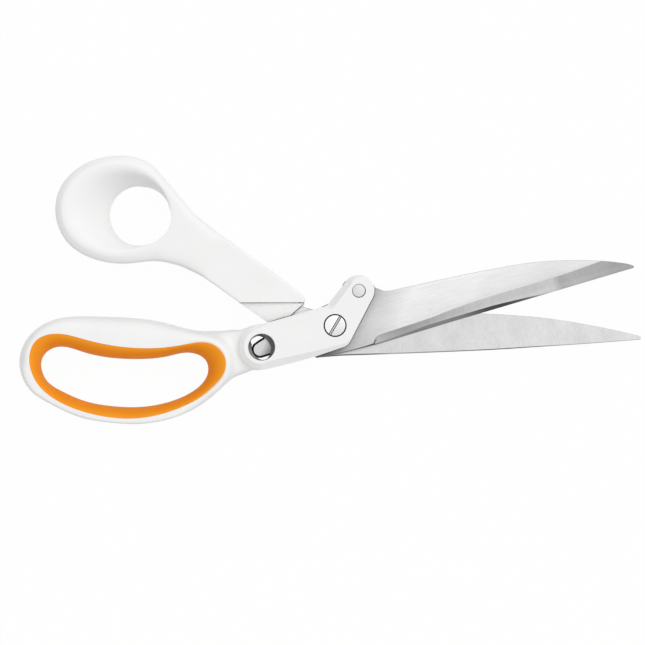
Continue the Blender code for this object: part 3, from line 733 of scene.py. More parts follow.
finger_handle = fuse("finger_handle_skin", [finger_loop, arm_core, lower_neck, upper_neck], VOXEL)
soften(finger_handle, 4, even_weight)
soften(finger_handle, 80, neck_weight)
carve(finger_handle, arm, "UNION")
punch(finger_handle, loop_seam, -OVERRUN, LOOP_TOP + OVERRUN)
below, above = ARM_LOW - OVERRUN, ARM_TOP + OVERRUN
drill(finger_handle, WINDOW, WINDOW_HOLE, below, above)
drill(finger_handle, (0.0, 0.0), SCREW_HOLE, below, above)
drill(finger_handle, RIVET, BUSH_HOLE, below, BUSH_TOP)
drill(finger_handle, RIVET_SHADE, RIVET_HOLE, BUSH_TOP - 0.1, above)
show(finger_handle, [white_plastic], "finger", "finger_handle")

# %% [markdown]
# ## Orange liner
# The liner is a soft ring that fills the seat. Its section is the other half of the oval, so at the seam
# it carries on the line of the white rim, and its wall is roundest at the middle of its height.

# %% Orange liner
shares, heights = half_oval(LINER_SINK, LOOP_TOP - LINER_SINK, np.full(LOOP_STEPS, LINER_FULLNESS))
liner = loft("finger_liner", ring_rows(loop_seam, loop_hole, shares, heights), "join")
show(liner, [orange_rubber], "finger", "finger_grip")

# %% [markdown]
# ## Thumb loop
# The thumb loop is a funnel: its wide rim leans to the left, its throat sits to the right, and the walls
# run smoothly from one to the other. At each angle the section goes through eleven points between four
# lines in plan: the foot, the outer edge, the rim and the throat. A closed curve through them gives the
# soft section, and the angle gives the way round. The throat lies deep at the top, where the thumb rests,
# and comes up level with the shank on the other side.

# %% Thumb loop
THUMB_TOP = 17.0
THUMB_TILT = 1.0
THROAT_HEIGHTS = np.array([14.5, 12.3, 9.2, 7.2, 6.0, 5.8, 6.8, 9.2, 12.2, 14.5, 15.3, 15.3])
EDGE_DROP = 2.4
RIM_SWELL = 0.4
ROOT_ANGLE = np.radians(-10.0)
THUMB_STEPS = 260
SECTION_STEPS = 110
THUMB_CENTRE = np.array([-80.0, 44.0])
FRONT_RIM = ((-85.0, 45.4), 20.0, 17.0)
THROAT = ((-75.9, 42.8), 11.9, 11.5)
BACK_RIM = ((-74.5, 41.5), 13.3, 13.1)
THUMB_OUTLINE = np.array(
    [
        (-109.2, 45.0), (-107.3, 53.6), (-99.5, 62.0), (-85.4, 66.3), (-73.7, 64.2), (-64.0, 54.6),
        (-55.4, 44.4), (-51.4, 36.0), (-52.6, 27.2), (-58.6, 23.3), (-67.4, 24.8), (-80.8, 24.1),
        (-93.9, 25.8), (-104.4, 32.3),
    ]
)  # fmt: skip
OUTSIDE = ((0.0, 0.0), (0.25, 0.0), (0.65, 0.22), (0.9, 0.55))
BROW = ((0.0, 0.0), (0.3, 0.5), (0.75, 0.9))
FUNNEL = ((0.15, 0.07), (0.6, 0.45))
FLARE = ((0.0, 0.0), (0.4, 0.6))


def oval(shape, angle):
    """Points of an upright oval, given as centre, half width and half height, at the angles."""
    (x, y), half_width, half_height = shape
    return np.column_stack([x + half_width * np.cos(angle), y + half_height * np.sin(angle)])


knots = run_length(THUMB_OUTLINE)
edge = smooth_ring(THUMB_OUTLINE, knots, np.arange(THUMB_STEPS) * knots[-1] / THUMB_STEPS)
edge = inset(edge, -RIM_SWELL)
angle = np.arctan2(*(edge - THUMB_CENTRE).T[::-1])
top = THUMB_TOP - THUMB_TILT * np.cos(angle)
brow = top - EDGE_DROP * step_between(np.cos(angle - ROOT_ANGLE), 0.95, 0.6)
foot, rim, throat = (oval(shape, angle) for shape in (BACK_RIM, FRONT_RIM, THROAT))
full_turn = np.linspace(0.0, 2 * np.pi, len(THROAT_HEIGHTS) + 1)
throat_height = smooth_ring(THROAT_HEIGHTS[:, None], full_turn, angle % (2 * np.pi))[:, 0]
section = []
for start, end, low, high, shares in (
    (foot, edge, 0.0, brow, OUTSIDE),
    (edge, rim, brow, top, BROW),
    (rim, throat, top, throat_height, FUNNEL),
    (throat, foot, throat_height, 0.0, FLARE),
):
    section += [lifted(start + (end - start) * across, low + (high - low) * up) for across, up in shares]
section = np.array(section)
gaps = np.linalg.norm(np.roll(section, -1, axis=0) - section, axis=2).mean(axis=1)
knots = np.concatenate([[0.0], np.cumsum(gaps)])
samples = np.arange(SECTION_STEPS) * knots[-1] / SECTION_STEPS
thumb_rows = smooth_ring(section.reshape(len(section), -1), knots, samples)
thumb_rows = thumb_rows.reshape(SECTION_STEPS, THUMB_STEPS, 3)
thumb_rows[..., 2] = np.clip(thumb_rows[..., 2], 0.0, THUMB_TOP + THUMB_TILT)
thumb_loop = loft("thumb_loop", thumb_rows, "join")
print(f"thumb loop of {SECTION_STEPS} x {THUMB_STEPS} points")

# %% [markdown]
# ## Thumb shank and stop pad
# The shank is a deep bar, level here, whose top is sunk towards the pivot later on. Its upper edge is
# rounded and its lower edge is almost sharp. Beside its end lies the stop pad, a lower plate with a
# bevelled left side that slides under the arm when the shears close.

# %% Thumb shank and stop pad
SHANK_LOW, SHANK_TOP = 2.0, 16.0
PAD_LOW, PAD_TOP = 3.4, 10.2
PAD_SPOT = (-22.0, 2.0)
PAD_FALL = (-0.03, -0.08)

shank_stations = np.vstack(
    [
        banded([(-60.0, 44.6), (-62.0, 40.0), (-62.6, 36.0), (-63.0, 30.0)], 0.8, 0.8),
        banded([(-63.4, 24.2), (-57.8, 21.7), (-52.0, 19.0)], (2.0, 1.0), (2.2, 1.0)),
        banded([(-48.0, 16.5), (-35.0, 7.2)], (0.8, 0.5), (0.8, 0.5)),
        banded([(-34.6, 7.2), (-12.4, 7.2)], 0.3, 0.5),
        banded([(-11.9, 7.6), (-11.7, 10.0), (-11.7, 10.6), (-12.2, 11.5)], (0.3, 0.6), (0.5, 0.7)),
        banded([(-17.3, 15.7), (-22.0, 19.4), (-31.8, 26.4), (-36.7, 29.9)], 1.0, 0.7),
        banded([(-46.3, 37.0), (-50.9, 40.7), (-55.0, 44.0)], (1.2, 2.0), (0.8, 1.0)),
    ]
)
shank = plate("shank", shank_stations, SHANK_LOW, SHANK_TOP, foot=1.0, crown=2.0, draft=1.0)
pad_stations = np.vstack(
    [
        banded([(-38.4, 10.4), (-37.55, 8.95), (-26.2, 1.15)], (1.3, 1.5), 0.6),
        banded([(-25.9, 1.0), (-20.5, 0.8), (-17.9, 3.4), (-12.1, 8.7)], 0.12, 0.3),
        banded([(-12.4, 11.0), (-30.0, 14.0)], 0.2, 0.2),
    ]
)
pad = plate("pad", pad_stations, PAD_LOW, sloping(PAD_TOP, PAD_SPOT, PAD_FALL), foot=0.4)
print("shank and pad ready to join")

# %% [markdown]
# ## Blade outlines
# Both blades are cut from flat stock, so each starts as an outline. Stations of the working part are
# shares of the blade's reach from the pivot and a distance across it. The rear outline is needed before
# the thumb handle is finished, because its tang sits in a slot there.


# %% Blade outlines
def along(stations):
    """Blade points from (share of the reach, distance across)."""
    return np.asarray(stations, float) * (BLADE_REACH, 1.0)


FRONT_SPINE = [
    (0.977, 23.3), (0.95, 24.2), (0.876, 25.2), (0.775, 25.5), (0.657, 24.8), (0.539, 22.6),
    (0.382, 18.9), (0.225, 14.8), (0.169, 13.5), (0.14, 14.4),
]  # fmt: skip
FRONT_WAIST = [
    (-1.0, 8.9), (-3.9, 6.9), (-8.4, 4.6), (-10.6, 1.2), (-12.0, -2.6), (-16.0, -4.2),
    (-24.5, -4.95), (-26.3, -4.9),
]  # fmt: skip
FRONT_TANG = [(-27.6, -4.4), (-30.0, -5.85), *arc((-29.3, -9.35), 3.3, 138, 285), (-25.3, -11.6)]
FRONT_HEEL = [(-17.6, -9.9), (-10.6, -9.8), (-7.3, -12.7), (0.9, -11.2)]
FRONT_EDGE = along([(0.134, -7.4), (0.977, 22.5)])
REAR_EDGE = [
    (0.9985, -4.6), (0.99, -3.9), (0.892, -1.2), (0.775, 1.4), (0.657, 3.3), (0.5, 4.6), (0.31, 5.7),
    (0.13, 6.4),
]  # fmt: skip
REAR_SHOULDER = [(6.5, 8.3), (1.0, 8.9), (-3.9, 7.3), (-8.2, 6.2), (-11.2, 6.8)]
REAR_HEEL = [(-14.5, -4.0), (-10.0, -9.6), (-6.3, -12.5)]
REAR_SPINE = [
    (0.019, -11.8), (0.265, -10.8), (0.5, -9.6), (0.657, -8.4), (0.814, -7.2), (0.9985, -5.5),
]  # fmt: skip
TANG_ENDS = np.array([(-17.6, 5.0), (-50.7, 29.1)])
TANG_HALF_WIDTH = 4.6

front_stations = np.vstack(
    [
        banded(smooth_line(along(FRONT_SPINE)), 0.12, 0.4),
        banded(arc(RIVET, 5.9, 15, 150), 0.12, 0.4),
        banded(FRONT_WAIST, 0.12, 0.4),
        banded(FRONT_TANG, 0.85, 0.9),
        banded(FRONT_HEEL, 0.12, 0.4),
        banded(FRONT_EDGE, 0.05, 0.15),
    ]
)
tang_way = (TANG_ENDS[0] - TANG_ENDS[1]) / np.linalg.norm(TANG_ENDS[0] - TANG_ENDS[1])
tang_side = TANG_HALF_WIDTH * np.array([-tang_way[1], tang_way[0]])
rear_tang = np.vstack([TANG_ENDS + tang_side, TANG_ENDS[::-1] - tang_side])
rear_stations = np.vstack(
    [
        banded(smooth_line(along(REAR_EDGE)), 0.05, 0.05),
        banded(REAR_SHOULDER, 0.15, 0.15),
        banded(rear_tang, 0.15, 0.15),
        banded(REAR_HEEL, 0.45, 0.45),
        banded(smooth_line(along(REAR_SPINE)), (0.5, 0.2), (0.5, 0.2)),
        banded([(BLADE_REACH, -5.05)], 0.05, 0.05),
    ]
)
print(f"front outline {run_length(front_stations[:, :2])[-1]:.0f} mm round")

# %% [markdown]
# ## Thumb handle
# Funnel and shank become one moulding in the same way, softened where the funnel runs into the shank.
# The step at its end is cut and the pad joins by Boolean, so that both stay crisp, and a fine groove is
# cut between them. The slot for the rear blade's tang is the blade's own outline, cut through the middle,
# and the throat is trimmed to its measured outline, twelve distances from its centre.

# %% Thumb handle
THUMB_ROUNDS, ROOT_ROUNDS = 3, 60
ROOT_SPOT, ROOT_WAY = (-55.0, 33.0), np.array([0.9, -0.43])
ROOT_NEAR_FADE, ROOT_FAR_FADE = (-9.0, -2.0), (12.0, 5.0)
SHOULDER_SPOT, SHOULDER_FADE = (-57.0, 46.0), (10.0, 4.0)
SHANK_ROOT, SHANK_WAY = (-54.0, 30.0), np.array([0.8, -0.6])
SHANK_FALL = 0.125
SHANK_EASE = 6.0
STEP_LINE = 9.0
STEP_PLAN = rectangle(-48.0, -6.0, -4.0, STEP_LINE)
STEP_HEIGHTS = (9.0, 18.0)
STEP_LEAN = (0.0, -0.15)
GROOVE = 0.3
GROOVE_PLAN = rectangle(-38.6, STEP_LINE - GROOVE, -11.0, STEP_LINE)
GROOVE_HEIGHTS = (8.6, 11.0)
SLOT_PLAY = 0.04
THROAT_STEPS = 120
THROAT_LEVEL = 10.0
THROAT_REACH = np.array([12.0, 11.0, 10.9, 11.35, 11.6, 11.8, 11.85, 11.8, 11.95, 11.6, 11.5, 11.9])
THROAT_LEAN = np.array([0.045, -0.025])


def shank_root_weight(points):
    """1 where the funnel runs into the shank, fading along the shank and round the loop."""
    along_shank = (points[:, :2] - ROOT_SPOT) @ ROOT_WAY
    across_root = step_between(along_shank, *ROOT_FAR_FADE) * step_between(along_shank, *ROOT_NEAR_FADE)
    from_shoulder = np.linalg.norm(points[:, :2] - SHOULDER_SPOT, axis=1)
    return np.maximum(across_root, step_between(from_shoulder, *SHOULDER_FADE))


def sunk(points):
    """Points of the moulding with its top lowered past the root, by an even fall that is eased in.

    The fall is slope x ease x log(1 + exp(way / ease)); it is full at the top and nought at the foot.
    """
    way = (points[:, :2] - SHANK_ROOT) @ SHANK_WAY
    fall = SHANK_FALL * SHANK_EASE * np.log1p(np.exp(way / SHANK_EASE))
    share = np.clip((points[:, 2] - SHANK_LOW) / (SHANK_TOP - SHANK_LOW), 0.0, 1.0)
    return np.column_stack([points[:, :2], points[:, 2] - share * fall])


thumb_handle = fuse("thumb_handle_skin", [thumb_loop, shank], VOXEL)
move_points(thumb_handle.data, sunk(points_of(thumb_handle.data)))
soften(thumb_handle, THUMB_ROUNDS, even_weight)
soften(thumb_handle, ROOT_ROUNDS, shank_root_weight)
punch(thumb_handle, STEP_PLAN, *STEP_HEIGHTS, STEP_LEAN)
carve(thumb_handle, pad, "UNION")
punch(thumb_handle, GROOVE_PLAN, *GROOVE_HEIGHTS)
tang_plan = inset(evenly(rear_stations, PLAN_STEP)[:, :2], -SLOT_PLAY)
punch(thumb_handle, tang_plan, REAR_LOW - SLOT_PLAY, REAR_TOP + SLOT_PLAY)
turn = np.linspace(0.0, 2 * np.pi, THROAT_STEPS, endpoint=False)
reach = smooth_ring(THROAT_REACH[:, None], np.linspace(0.0, 2 * np.pi, len(THROAT_REACH) + 1), turn)
throat_plan = THROAT[0] + reach * np.column_stack([np.cos(turn), np.sin(turn)])
below, above = -OVERRUN, THUMB_TOP + 2 * OVERRUN
throat_plan += THROAT_LEAN * ((below + above) / 2 - THROAT_LEVEL)
punch(thumb_handle, throat_plan, below, above, THROAT_LEAN * (above - below) / 2)
show(thumb_handle, [white_plastic], "thumb", "thumb_handle")

# %% [markdown]
# ## Steel finishes
# Steel is metallic, so its colour is the tint of what it mirrors, and its grind decides how. The front
# face is brushed along the blade, the rear blade's inner face across it, and the bevels are ground
# across in broad strokes. Mirrors see plain white here, so the darker bevels, the dark relief at the edge
# and the dark stamped sides are partly their grind and partly painted reflection and shade by their
# lean. The front face has a painted shadow of the arm, beside and under it and on the tang in the
# window, and the rear face a painted lighter patch by the stop pad.


# %% Steel finishes
def fade(tree, way, stops):
    """A tone by the distance along a direction in plan: straight lines between (millimetre, tone) stops."""
    spot = add_node(tree, "TexCoord").outputs["Object"]
    along_way = (way[0] / MM, way[1] / MM, 0.0)
    distance = add_node(tree, "VectorMath", {0: spot, 1: along_way}, operation="DOT_PRODUCT")
    first, last = stops[0][0], stops[-1][0]
    share = add_node(
        tree, "MapRange", {"Value": distance.outputs["Value"], "From Min": first, "From Max": last}
    )
    ramp = add_node(tree, "ValToRGB", {0: share.outputs[0]})
    places = ramp.color_ramp.elements
    while len(places) < len(stops):
        places.new(0.5)
    for place, (distance_there, tone) in zip(places, stops):
        place.position = (distance_there - first) / (last - first)
        place.color = (tone, tone, tone, 1.0)
    return ramp.outputs[0]


def faded(tree, colour, fades):
    """The colour times each fade, given as its direction and its stops."""
    for way, stops in fades:
        tone = fade(tree, way, stops)
        colour = add_node(tree, "VectorMath", {0: colour, 1: tone}, operation="MULTIPLY").outputs[0]
    return colour


def ground_steel(name, first, second, gloss, stroke, turn, fades=()):
    """Streaks of the given stroke (along, across), a slow cloud and a fine mottle, times the fades."""
    made, tree, shader = new_finish(name, gloss[0], 1.0)
    streak = grain(tree, (stroke[0], stroke[1], stroke[1]), turn, 3.0)
    cloud = grain(tree, (16.0, 9.0, 9.0), turn)
    mottle = grain(tree, (1.6, 0.8, 0.8), turn - 45.0)
    mean = 0.0
    for pattern, weight in ((streak, 0.4), (cloud, 0.35), (mottle, 0.25)):
        mean = add_node(tree, "Math", {0: pattern, 1: weight, 2: mean}, operation="MULTIPLY_ADD").outputs[0]
    tone = spread(tree, mean, 0.0, 1.0)
    colour = faded(tree, tinted(tree, tone, first, second), fades)
    tree.links.new(colour, shader.inputs["Base Color"])
    tree.links.new(spread(tree, streak, *gloss), shader.inputs["Roughness"])
    raised(tree, shader, streak, 0.004, 0.3)
    return made


FRONT_LIE = 16.0
REAR_LIE = 2.0
OFF_ARM = (0.889, -0.4585)
ALONG_FRONT = (0.958, 0.285)
ARM_EDGE = 8.08
# Painted shadow of the arm on the front face: darker beside the arm and under it, near black at the heel, and
# on the tang in the window darker towards the right, as the window's shadow.
ARM_SHADOW_FADE = [
    (ARM_EDGE - 34.0, 0.90), (ARM_EDGE - 29.5, 0.84), (ARM_EDGE - 26.0, 0.30), (ARM_EDGE - 10.0, 0.12),
    (ARM_EDGE - 6.0, 0.20), (ARM_EDGE - 2.0, 0.38), (ARM_EDGE, 0.58), (ARM_EDGE + 3.0, 0.75),
    (ARM_EDGE + 13.0, 1.0),
]  # fmt: skip
# Tone along the bevel, partly its grinding bands and partly painted reflection, darkest near the heel and at
# the tip.
BEVEL_BANDS_AND_REFLECTION = [
    (15.0, 0.92), (20.0, 0.78), (26.0, 0.70), (53.0, 1.12), (86.0, 1.20), (89.0, 0.84), (94.0, 0.92),
    (118.0, 0.74),
]  # fmt: skip
OFF_EDGE = (-0.285, 0.9585)
EDGE_FADE = [(-11.4, 0.96), (-10.2, 1.06), (-8.8, 0.96), (-5.0, 1.0)]
# Painted shade at the heel: the face darkens towards the cutting edge, under the arm's lower corner.
RICASSO_SHADE_FADE = [(-12.0, 0.82), (-6.5, 0.93), (-4.0, 1.0), (1.0, 1.02)]
TIP_FADE = [(45.0, 1.0), (74.0, 0.945), (105.0, 0.93)]
# Painted shade and dark reflection along the edge relief, near black at the heel and varying along the blade.
RELIEF_SHADE_FADE = [
    (-26.0, 0.02), (-20.0, 0.3), (-10.0, 0.14), (12.0, 0.14), (18.0, 0.42), (30.0, 0.31), (48.0, 0.23),
    (59.0, 0.08), (66.0, 0.07), (74.0, 0.14), (84.0, 0.40),
]  # fmt: skip
# Painted light on the rear face: lighter at its heel beside the stop pad, where shade falls.
REAR_PAINTED_LIGHT = [(-9.0, 1.2), (-2.0, 0.94), (40.0, 0.96), (100.0, 1.0)]
# Painted shadow: the sides of the tang's end, left of x = -22 mm, are near black, the dark outline round it
# in the window.
TANG_END_SHADOW = [(-22.0, 0.08), (-20.0, 1.0)]
ALONG_REAR = (1.0, 0.0)


def grey(tone):
    """The same value for red, green and blue."""
    return (tone, tone, tone)


front_face = ground_steel(
    "front_face", grey(0.64), grey(0.78), (0.32, 0.44), (7.0, 0.3), FRONT_LIE,
    [(OFF_ARM, ARM_SHADOW_FADE), (OFF_EDGE, RICASSO_SHADE_FADE), (ALONG_FRONT, TIP_FADE)],
)  # fmt: skip
rear_face = ground_steel(
    "rear_face", grey(0.53), grey(0.70), (0.34, 0.46), (3.6, 0.35), REAR_LIE + 99.0, [(ALONG_REAR, REAR_PAINTED_LIGHT)]
)
bevel_face = ground_steel(
    "bevel_face", grey(0.45), grey(0.55), (0.28, 0.4), (7.0, 1.1), FRONT_LIE + 84.0,
    [(ALONG_FRONT, BEVEL_BANDS_AND_REFLECTION), (OFF_EDGE, EDGE_FADE)],
)  # fmt: skip
edge_relief = ground_steel(
    "edge_relief", grey(0.9), grey(1.0), (0.3, 0.4), (14.0, 0.3), FRONT_LIE, [(ALONG_FRONT, RELIEF_SHADE_FADE)]
)
stamped_side = ground_steel(
    "stamped_side", grey(0.45), grey(0.55), (0.4, 0.5), (0.3, 3.0), 0.0, [(ALONG_REAR, TANG_END_SHADOW)]
)
print("steel finishes made")

# %% [markdown]
# ## Grinding
# A wheel leaves a hollow bevel: straight along the edge and slightly dished across. The cutter is a loft
# of sections between the bevel's boundary on the flat and the cutting edge, with the dish as a parabola,
# and it runs past both lines so that the cut is clean.


# %% Grinding
HOLLOW = 0.06
GRIND_CLEAR = 6.0


def grind(piece, boundary, edge, flat_height, edge_height):
    """Cuts a hollow bevel between two lines of points; heights may differ from point to point.

    Across the bevel the surface is the straight line from boundary to edge, less a parabola of depth
    HOLLOW that is nought at both lines.
    """
    share = np.linspace(-0.15, 1.3, 16)[None, :, None]
    start = lifted(boundary, flat_height)[:, None]
    end = lifted(edge, edge_height)[:, None]
    away = np.sign(flat_height - np.mean(edge_height))
    dish = np.array([0.0, 0.0, away * HOLLOW])
    ground = start + share * (end - start) - dish * 4 * share * (1 - share)
    lift = np.array([0.0, 0.0, away * GRIND_CLEAR])
    carve(piece, loft("grind", np.concatenate([ground, ground[:, -1:] + lift, ground[:, :1] + lift], axis=1)))


# %% [markdown]
# ## Front blade
# A plate with a lobe for the rivet and a tang that ends under the window. The hollow bevel starts in a
# round corner near the heel and takes up the whole tip. Along the first two thirds of the edge a narrow,
# steep relief is ground as well, whose finish paints the dark line under the bevel as shade and dark
# reflection. Its stations give the place on the edge, the relief's width, the height left at its upper
# side, and its slope.

# %% Front blade
FRONT_BEVEL = [
    (0.126, -6.6), (0.131, -5.3), (0.145, -3.6), (0.212, -1.0), (0.307, 2.8), (0.376, 6.0),
    (0.474, 10.1), (0.637, 16.0), (0.735, 19.5), (0.8, 22.2), (0.88, 25.6), (0.97, 29.3),
]  # fmt: skip
EDGE_LEFT = 0.2
RELIEF = np.array(
    [
        (-7.8, -13.0, 0.2, 2.3, 2.0), (0.9, -11.3, 0.2, 2.3, 2.0), (12.0, -8.45, 0.3, 2.2, 2.0),
        (17.0, -7.15, 0.3, 1.3, 2.0), (25.0, -4.75, 0.6, 1.2, 1.6), (36.0, -1.5, 1.05, 1.1, 1.1),
        (48.0, 2.1, 1.25, 1.0, 0.9), (62.0, 6.25, 0.95, 0.8, 0.8), (74.0, 9.8, 0.5, 0.45, 0.8),
        (84.0, 12.8, 0.0, 0.15, 0.8),
    ]
)  # fmt: skip
BLADE_BORE = 3.4
RIVET_BORE = 2.0
RIVET_SEAT, RIVET_SEAT_DEPTH = 3.0, 1.3
BLADE_CREASE = 12.0
# Faces part by lean into flat face, bevel, relief and side; the steeper finishes are darker, partly by their
# grind and partly as painted reflection and shade.
BLADE_LIMITS = (0.995, 0.80, 0.3)

front_blade = plate("front_blade_ground", front_stations, FRONT_LOW, FRONT_TOP, spacing=0.25)
boundary = smooth_line(along(FRONT_BEVEL))
edge_way = (FRONT_EDGE[1] - FRONT_EDGE[0]) / np.linalg.norm(FRONT_EDGE[1] - FRONT_EDGE[0])
edge = FRONT_EDGE[0] + np.outer((boundary - FRONT_EDGE[0]) @ edge_way, edge_way)
edge_left = np.interp(edge[:, 0], RELIEF[:, 0], RELIEF[:, 3])
grind(front_blade, boundary, edge, FRONT_TOP, FRONT_LOW + np.maximum(edge_left, EDGE_LEFT))

line = smooth_line(RELIEF)
ahead = np.gradient(line[:, :2], axis=0)
inward = np.column_stack([-ahead[:, 1], ahead[:, 0]]) / np.linalg.norm(ahead, axis=1)[:, None]
reach = np.array([1.6, -1.0])
relief = [
    lifted(line[:, :2] + inward * across, FRONT_LOW + line[:, 3] + (across - line[:, 2]) * line[:, 4])
    for across in reach
]
relief += [lifted(row[:, :2], FRONT_TOP + OVERRUN + 4.0) for row in relief[::-1]]
carve(front_blade, loft("relief", np.stack(relief, axis=1)))
below, above = FRONT_LOW - OVERRUN, FRONT_TOP + OVERRUN
drill(front_blade, (0.0, 0.0), BLADE_BORE, below, above)
drill(front_blade, RIVET, RIVET_BORE, below, above)
drill(front_blade, RIVET, RIVET_SEAT, below, FRONT_LOW + RIVET_SEAT_DEPTH)
front_finishes = [front_face, bevel_face, edge_relief, stamped_side]
show(front_blade, front_finishes, "front", "front_blade", BLADE_CREASE, BLADE_LIMITS)

# %% [markdown]
# ## Rear blade
# The rear blade shows its flat inner side, and its bevel is underneath. Its back edge is broken by a
# small bevel, whose dark finish paints the thin line along the bottom of the blade as shade. A round
# pocket takes the slide washer.

# %% Rear blade
REAR_BEVEL = [
    (0.13, 4.6, 0.13, 6.4), (0.16, 2.6, 0.17, 6.25), (0.31, 1.4, 0.315, 5.7), (0.5, 0.0, 0.5, 4.6),
    (0.657, -1.2, 0.66, 3.25), (0.775, -2.8, 0.78, 1.3), (0.892, -5.2, 0.9, -1.4), (1.0, -8.0, 1.01, -4.4),
]  # fmt: skip

rear_blade = plate("rear_blade_ground", rear_stations, REAR_LOW, REAR_TOP, spacing=0.25)
lines = smooth_line(np.array(REAR_BEVEL) * (BLADE_REACH, 1.0, BLADE_REACH, 1.0))
grind(rear_blade, lines[:, :2], lines[:, 2:], REAR_LOW, np.full(len(lines), REAR_TOP - EDGE_LEFT))
drill(rear_blade, (0.0, 0.0), BLADE_BORE, REAR_LOW - OVERRUN, REAR_TOP + OVERRUN)
drill(rear_blade, (0.0, 0.0), 7.2, REAR_TOP - 0.8, REAR_TOP + OVERRUN)
rear_finishes = [rear_face, bevel_face, edge_relief, stamped_side]
show(rear_blade, rear_finishes, "thumb", "rear_blade", BLADE_CREASE, BLADE_LIMITS)

# %% [markdown]
# ## Turned steel and bronze
# Lathe work shows fine rings about its own axis. Here the distance from the axis drives a wave, and a
# little noise keeps the rings from being perfect. Each turned piece gets the finish centred on its axis.


# %% Turned steel and bronze
def lathe_finish(name, first, second, gloss, centre=(0.0, 0.0), fades=(), pitch=0.35):
    """Rings: tone and roughness follow a wave of the distance from the axis, broken by noise."""
    made, tree, shader = new_finish(name, gloss[0], 1.0)
    spot = add_node(tree, "TexCoord").outputs["Object"]
    placed = add_node(
        tree,
        "Mapping",
        {"Vector": spot, "Location": (centre[0] * MM, centre[1] * MM, 0.0), "Scale": (MM, MM, MM)},
        vector_type="TEXTURE",
    )
    rings = add_node(
        tree,
        "TexWave",
        {"Vector": placed.outputs[0], "Scale": 1.0 / pitch / 3.0, "Distortion": 0.6, "Detail": 2.0},
        wave_type="RINGS",
        rings_direction="Z",
    )
    cloud = grain(tree, (1.2, 1.2, 1.2))
    both = add_node(tree, "Math", {0: rings.outputs["Fac"], 1: cloud}, operation="ADD")
    tone = add_node(tree, "Math", {0: both.outputs[0], 1: 0.5}, operation="MULTIPLY").outputs[0]
    tree.links.new(faded(tree, tinted(tree, tone, first, second), fades), shader.inputs["Base Color"])
    tree.links.new(spread(tree, tone, *gloss), shader.inputs["Roughness"])
    raised(tree, shader, rings.outputs["Fac"], 0.003, 0.25)
    return made


SLOT_TURN = 59.7
SLOT_WAY = np.array([np.cos(np.radians(SLOT_TURN)), np.sin(np.radians(SLOT_TURN))])
SLOT_SIDE = np.array([-SLOT_WAY[1], SLOT_WAY[0]])
# Painted shade: the screw head's lower right half, across the slot, is darker than its upper left.
SCREW_HALF_SHADE = [(-4.0, 0.81), (-0.6, 0.86), (0.6, 1.02), (4.0, 1.03)]
screw_steel = lathe_finish(
    "screw_steel", grey(0.81), grey(0.87), (0.26, 0.36), fades=[(SLOT_SIDE, SCREW_HALF_SHADE)]
)
rivet_steel = lathe_finish("rivet_steel", grey(0.58), grey(0.72), (0.5, 0.6), RIVET)
# Painted shade for the screw: the slot floor is a darker grey, and the near-black steel darkens the screw's
# steep faces; on the spring washer that black is partly oxide, partly painted shade.
slot_shade_steel = lathe_finish("slot_shade_steel", grey(0.48), grey(0.58), (0.4, 0.5))
oxide_and_shade_steel = lathe_finish("oxide_and_shade_steel", grey(0.04), grey(0.07), (0.4, 0.5))
# Dark steel for the window sleeve, partly painted shade of the window's inside.
sleeve_steel_and_shade = lathe_finish("sleeve_steel_and_shade", grey(0.18), grey(0.27), (0.36, 0.46), WINDOW)
bronze = lathe_finish("bronze", (0.5, 0.33, 0.16), (0.6, 0.42, 0.22), (0.32, 0.42))
# Near-black bronze for the lever bush, painted shade in the gap round the rivet's head.
bush_shade_bronze = lathe_finish("bush_shade_bronze", (0.05, 0.04, 0.03), (0.08, 0.06, 0.045), (0.32, 0.42), RIVET)
print("lathe finishes made")

# %% [markdown]
# ## Screw, rivet and their washers
# The hardware is turned: a profile of radius and height goes round the axis. Sharp corners never leave a
# lathe, so the corners of most profiles are eased by a short curve before they are turned. The screw's
# head is bright on top, and its side is painted dark as the shade of the ring gap in the arm's hole.


# %% Screw, rivet and their washers
def eased(profile, size, steps=5):
    """Each corner becomes a short curve between points at the given distance along its two sides."""
    profile = np.asarray(profile, float)
    back = np.roll(profile, 1, axis=0) - profile
    ahead = np.roll(profile, -1, axis=0) - profile
    reach = np.where(profile[:, :1] == 0.0, 0.0, size)
    start = profile + back / np.linalg.norm(back, axis=1)[:, None] * reach
    end = profile + ahead / np.linalg.norm(ahead, axis=1)[:, None] * reach
    share = np.linspace(0.0, 1.0, steps)[None, :, None]
    curve = start[:, None] * (1 - share) ** 2 + end[:, None] * share**2
    return (curve + 2 * profile[:, None] * share * (1 - share)).reshape(-1, 2)


def washer(name, bore, radius, low, high, size=0.08):
    """The eased section of a plain ring, turned about the pivot."""
    return turned(name, eased([(bore, low), (radius, low), (radius, high), (bore, high)], size))


HEAD_RADIUS, HEAD_LOW, HEAD_TOP = 4.0, 12.1, 15.3
SCREW_PROFILE = [
    (0.0, 1.0), (1.9, 1.0), (2.2, 1.3), (2.2, HEAD_LOW), (HEAD_RADIUS, HEAD_LOW),
    (HEAD_RADIUS, HEAD_TOP), (0.0, HEAD_TOP),
]  # fmt: skip
NUT_TOP = 3.6
NUT_FLAT = rectangle(-6.0, 4.8, 6.0, 9.0)

screw = turned("pivot_screw_turned", eased(SCREW_PROFILE, 0.15))
slot_section = np.array([(-0.72, 0.5), (-0.55, 0.0), (-0.26, -0.7), (0.26, -0.7), (0.55, 0.0), (0.72, 0.5)])
slot_rows = [
    lifted(SLOT_WAY * end + np.outer(slot_section[:, 0], SLOT_SIDE), HEAD_TOP + slot_section[:, 1])
    for end in (-5.0, 5.0)
]
carve(screw, loft("slot", slot_rows))
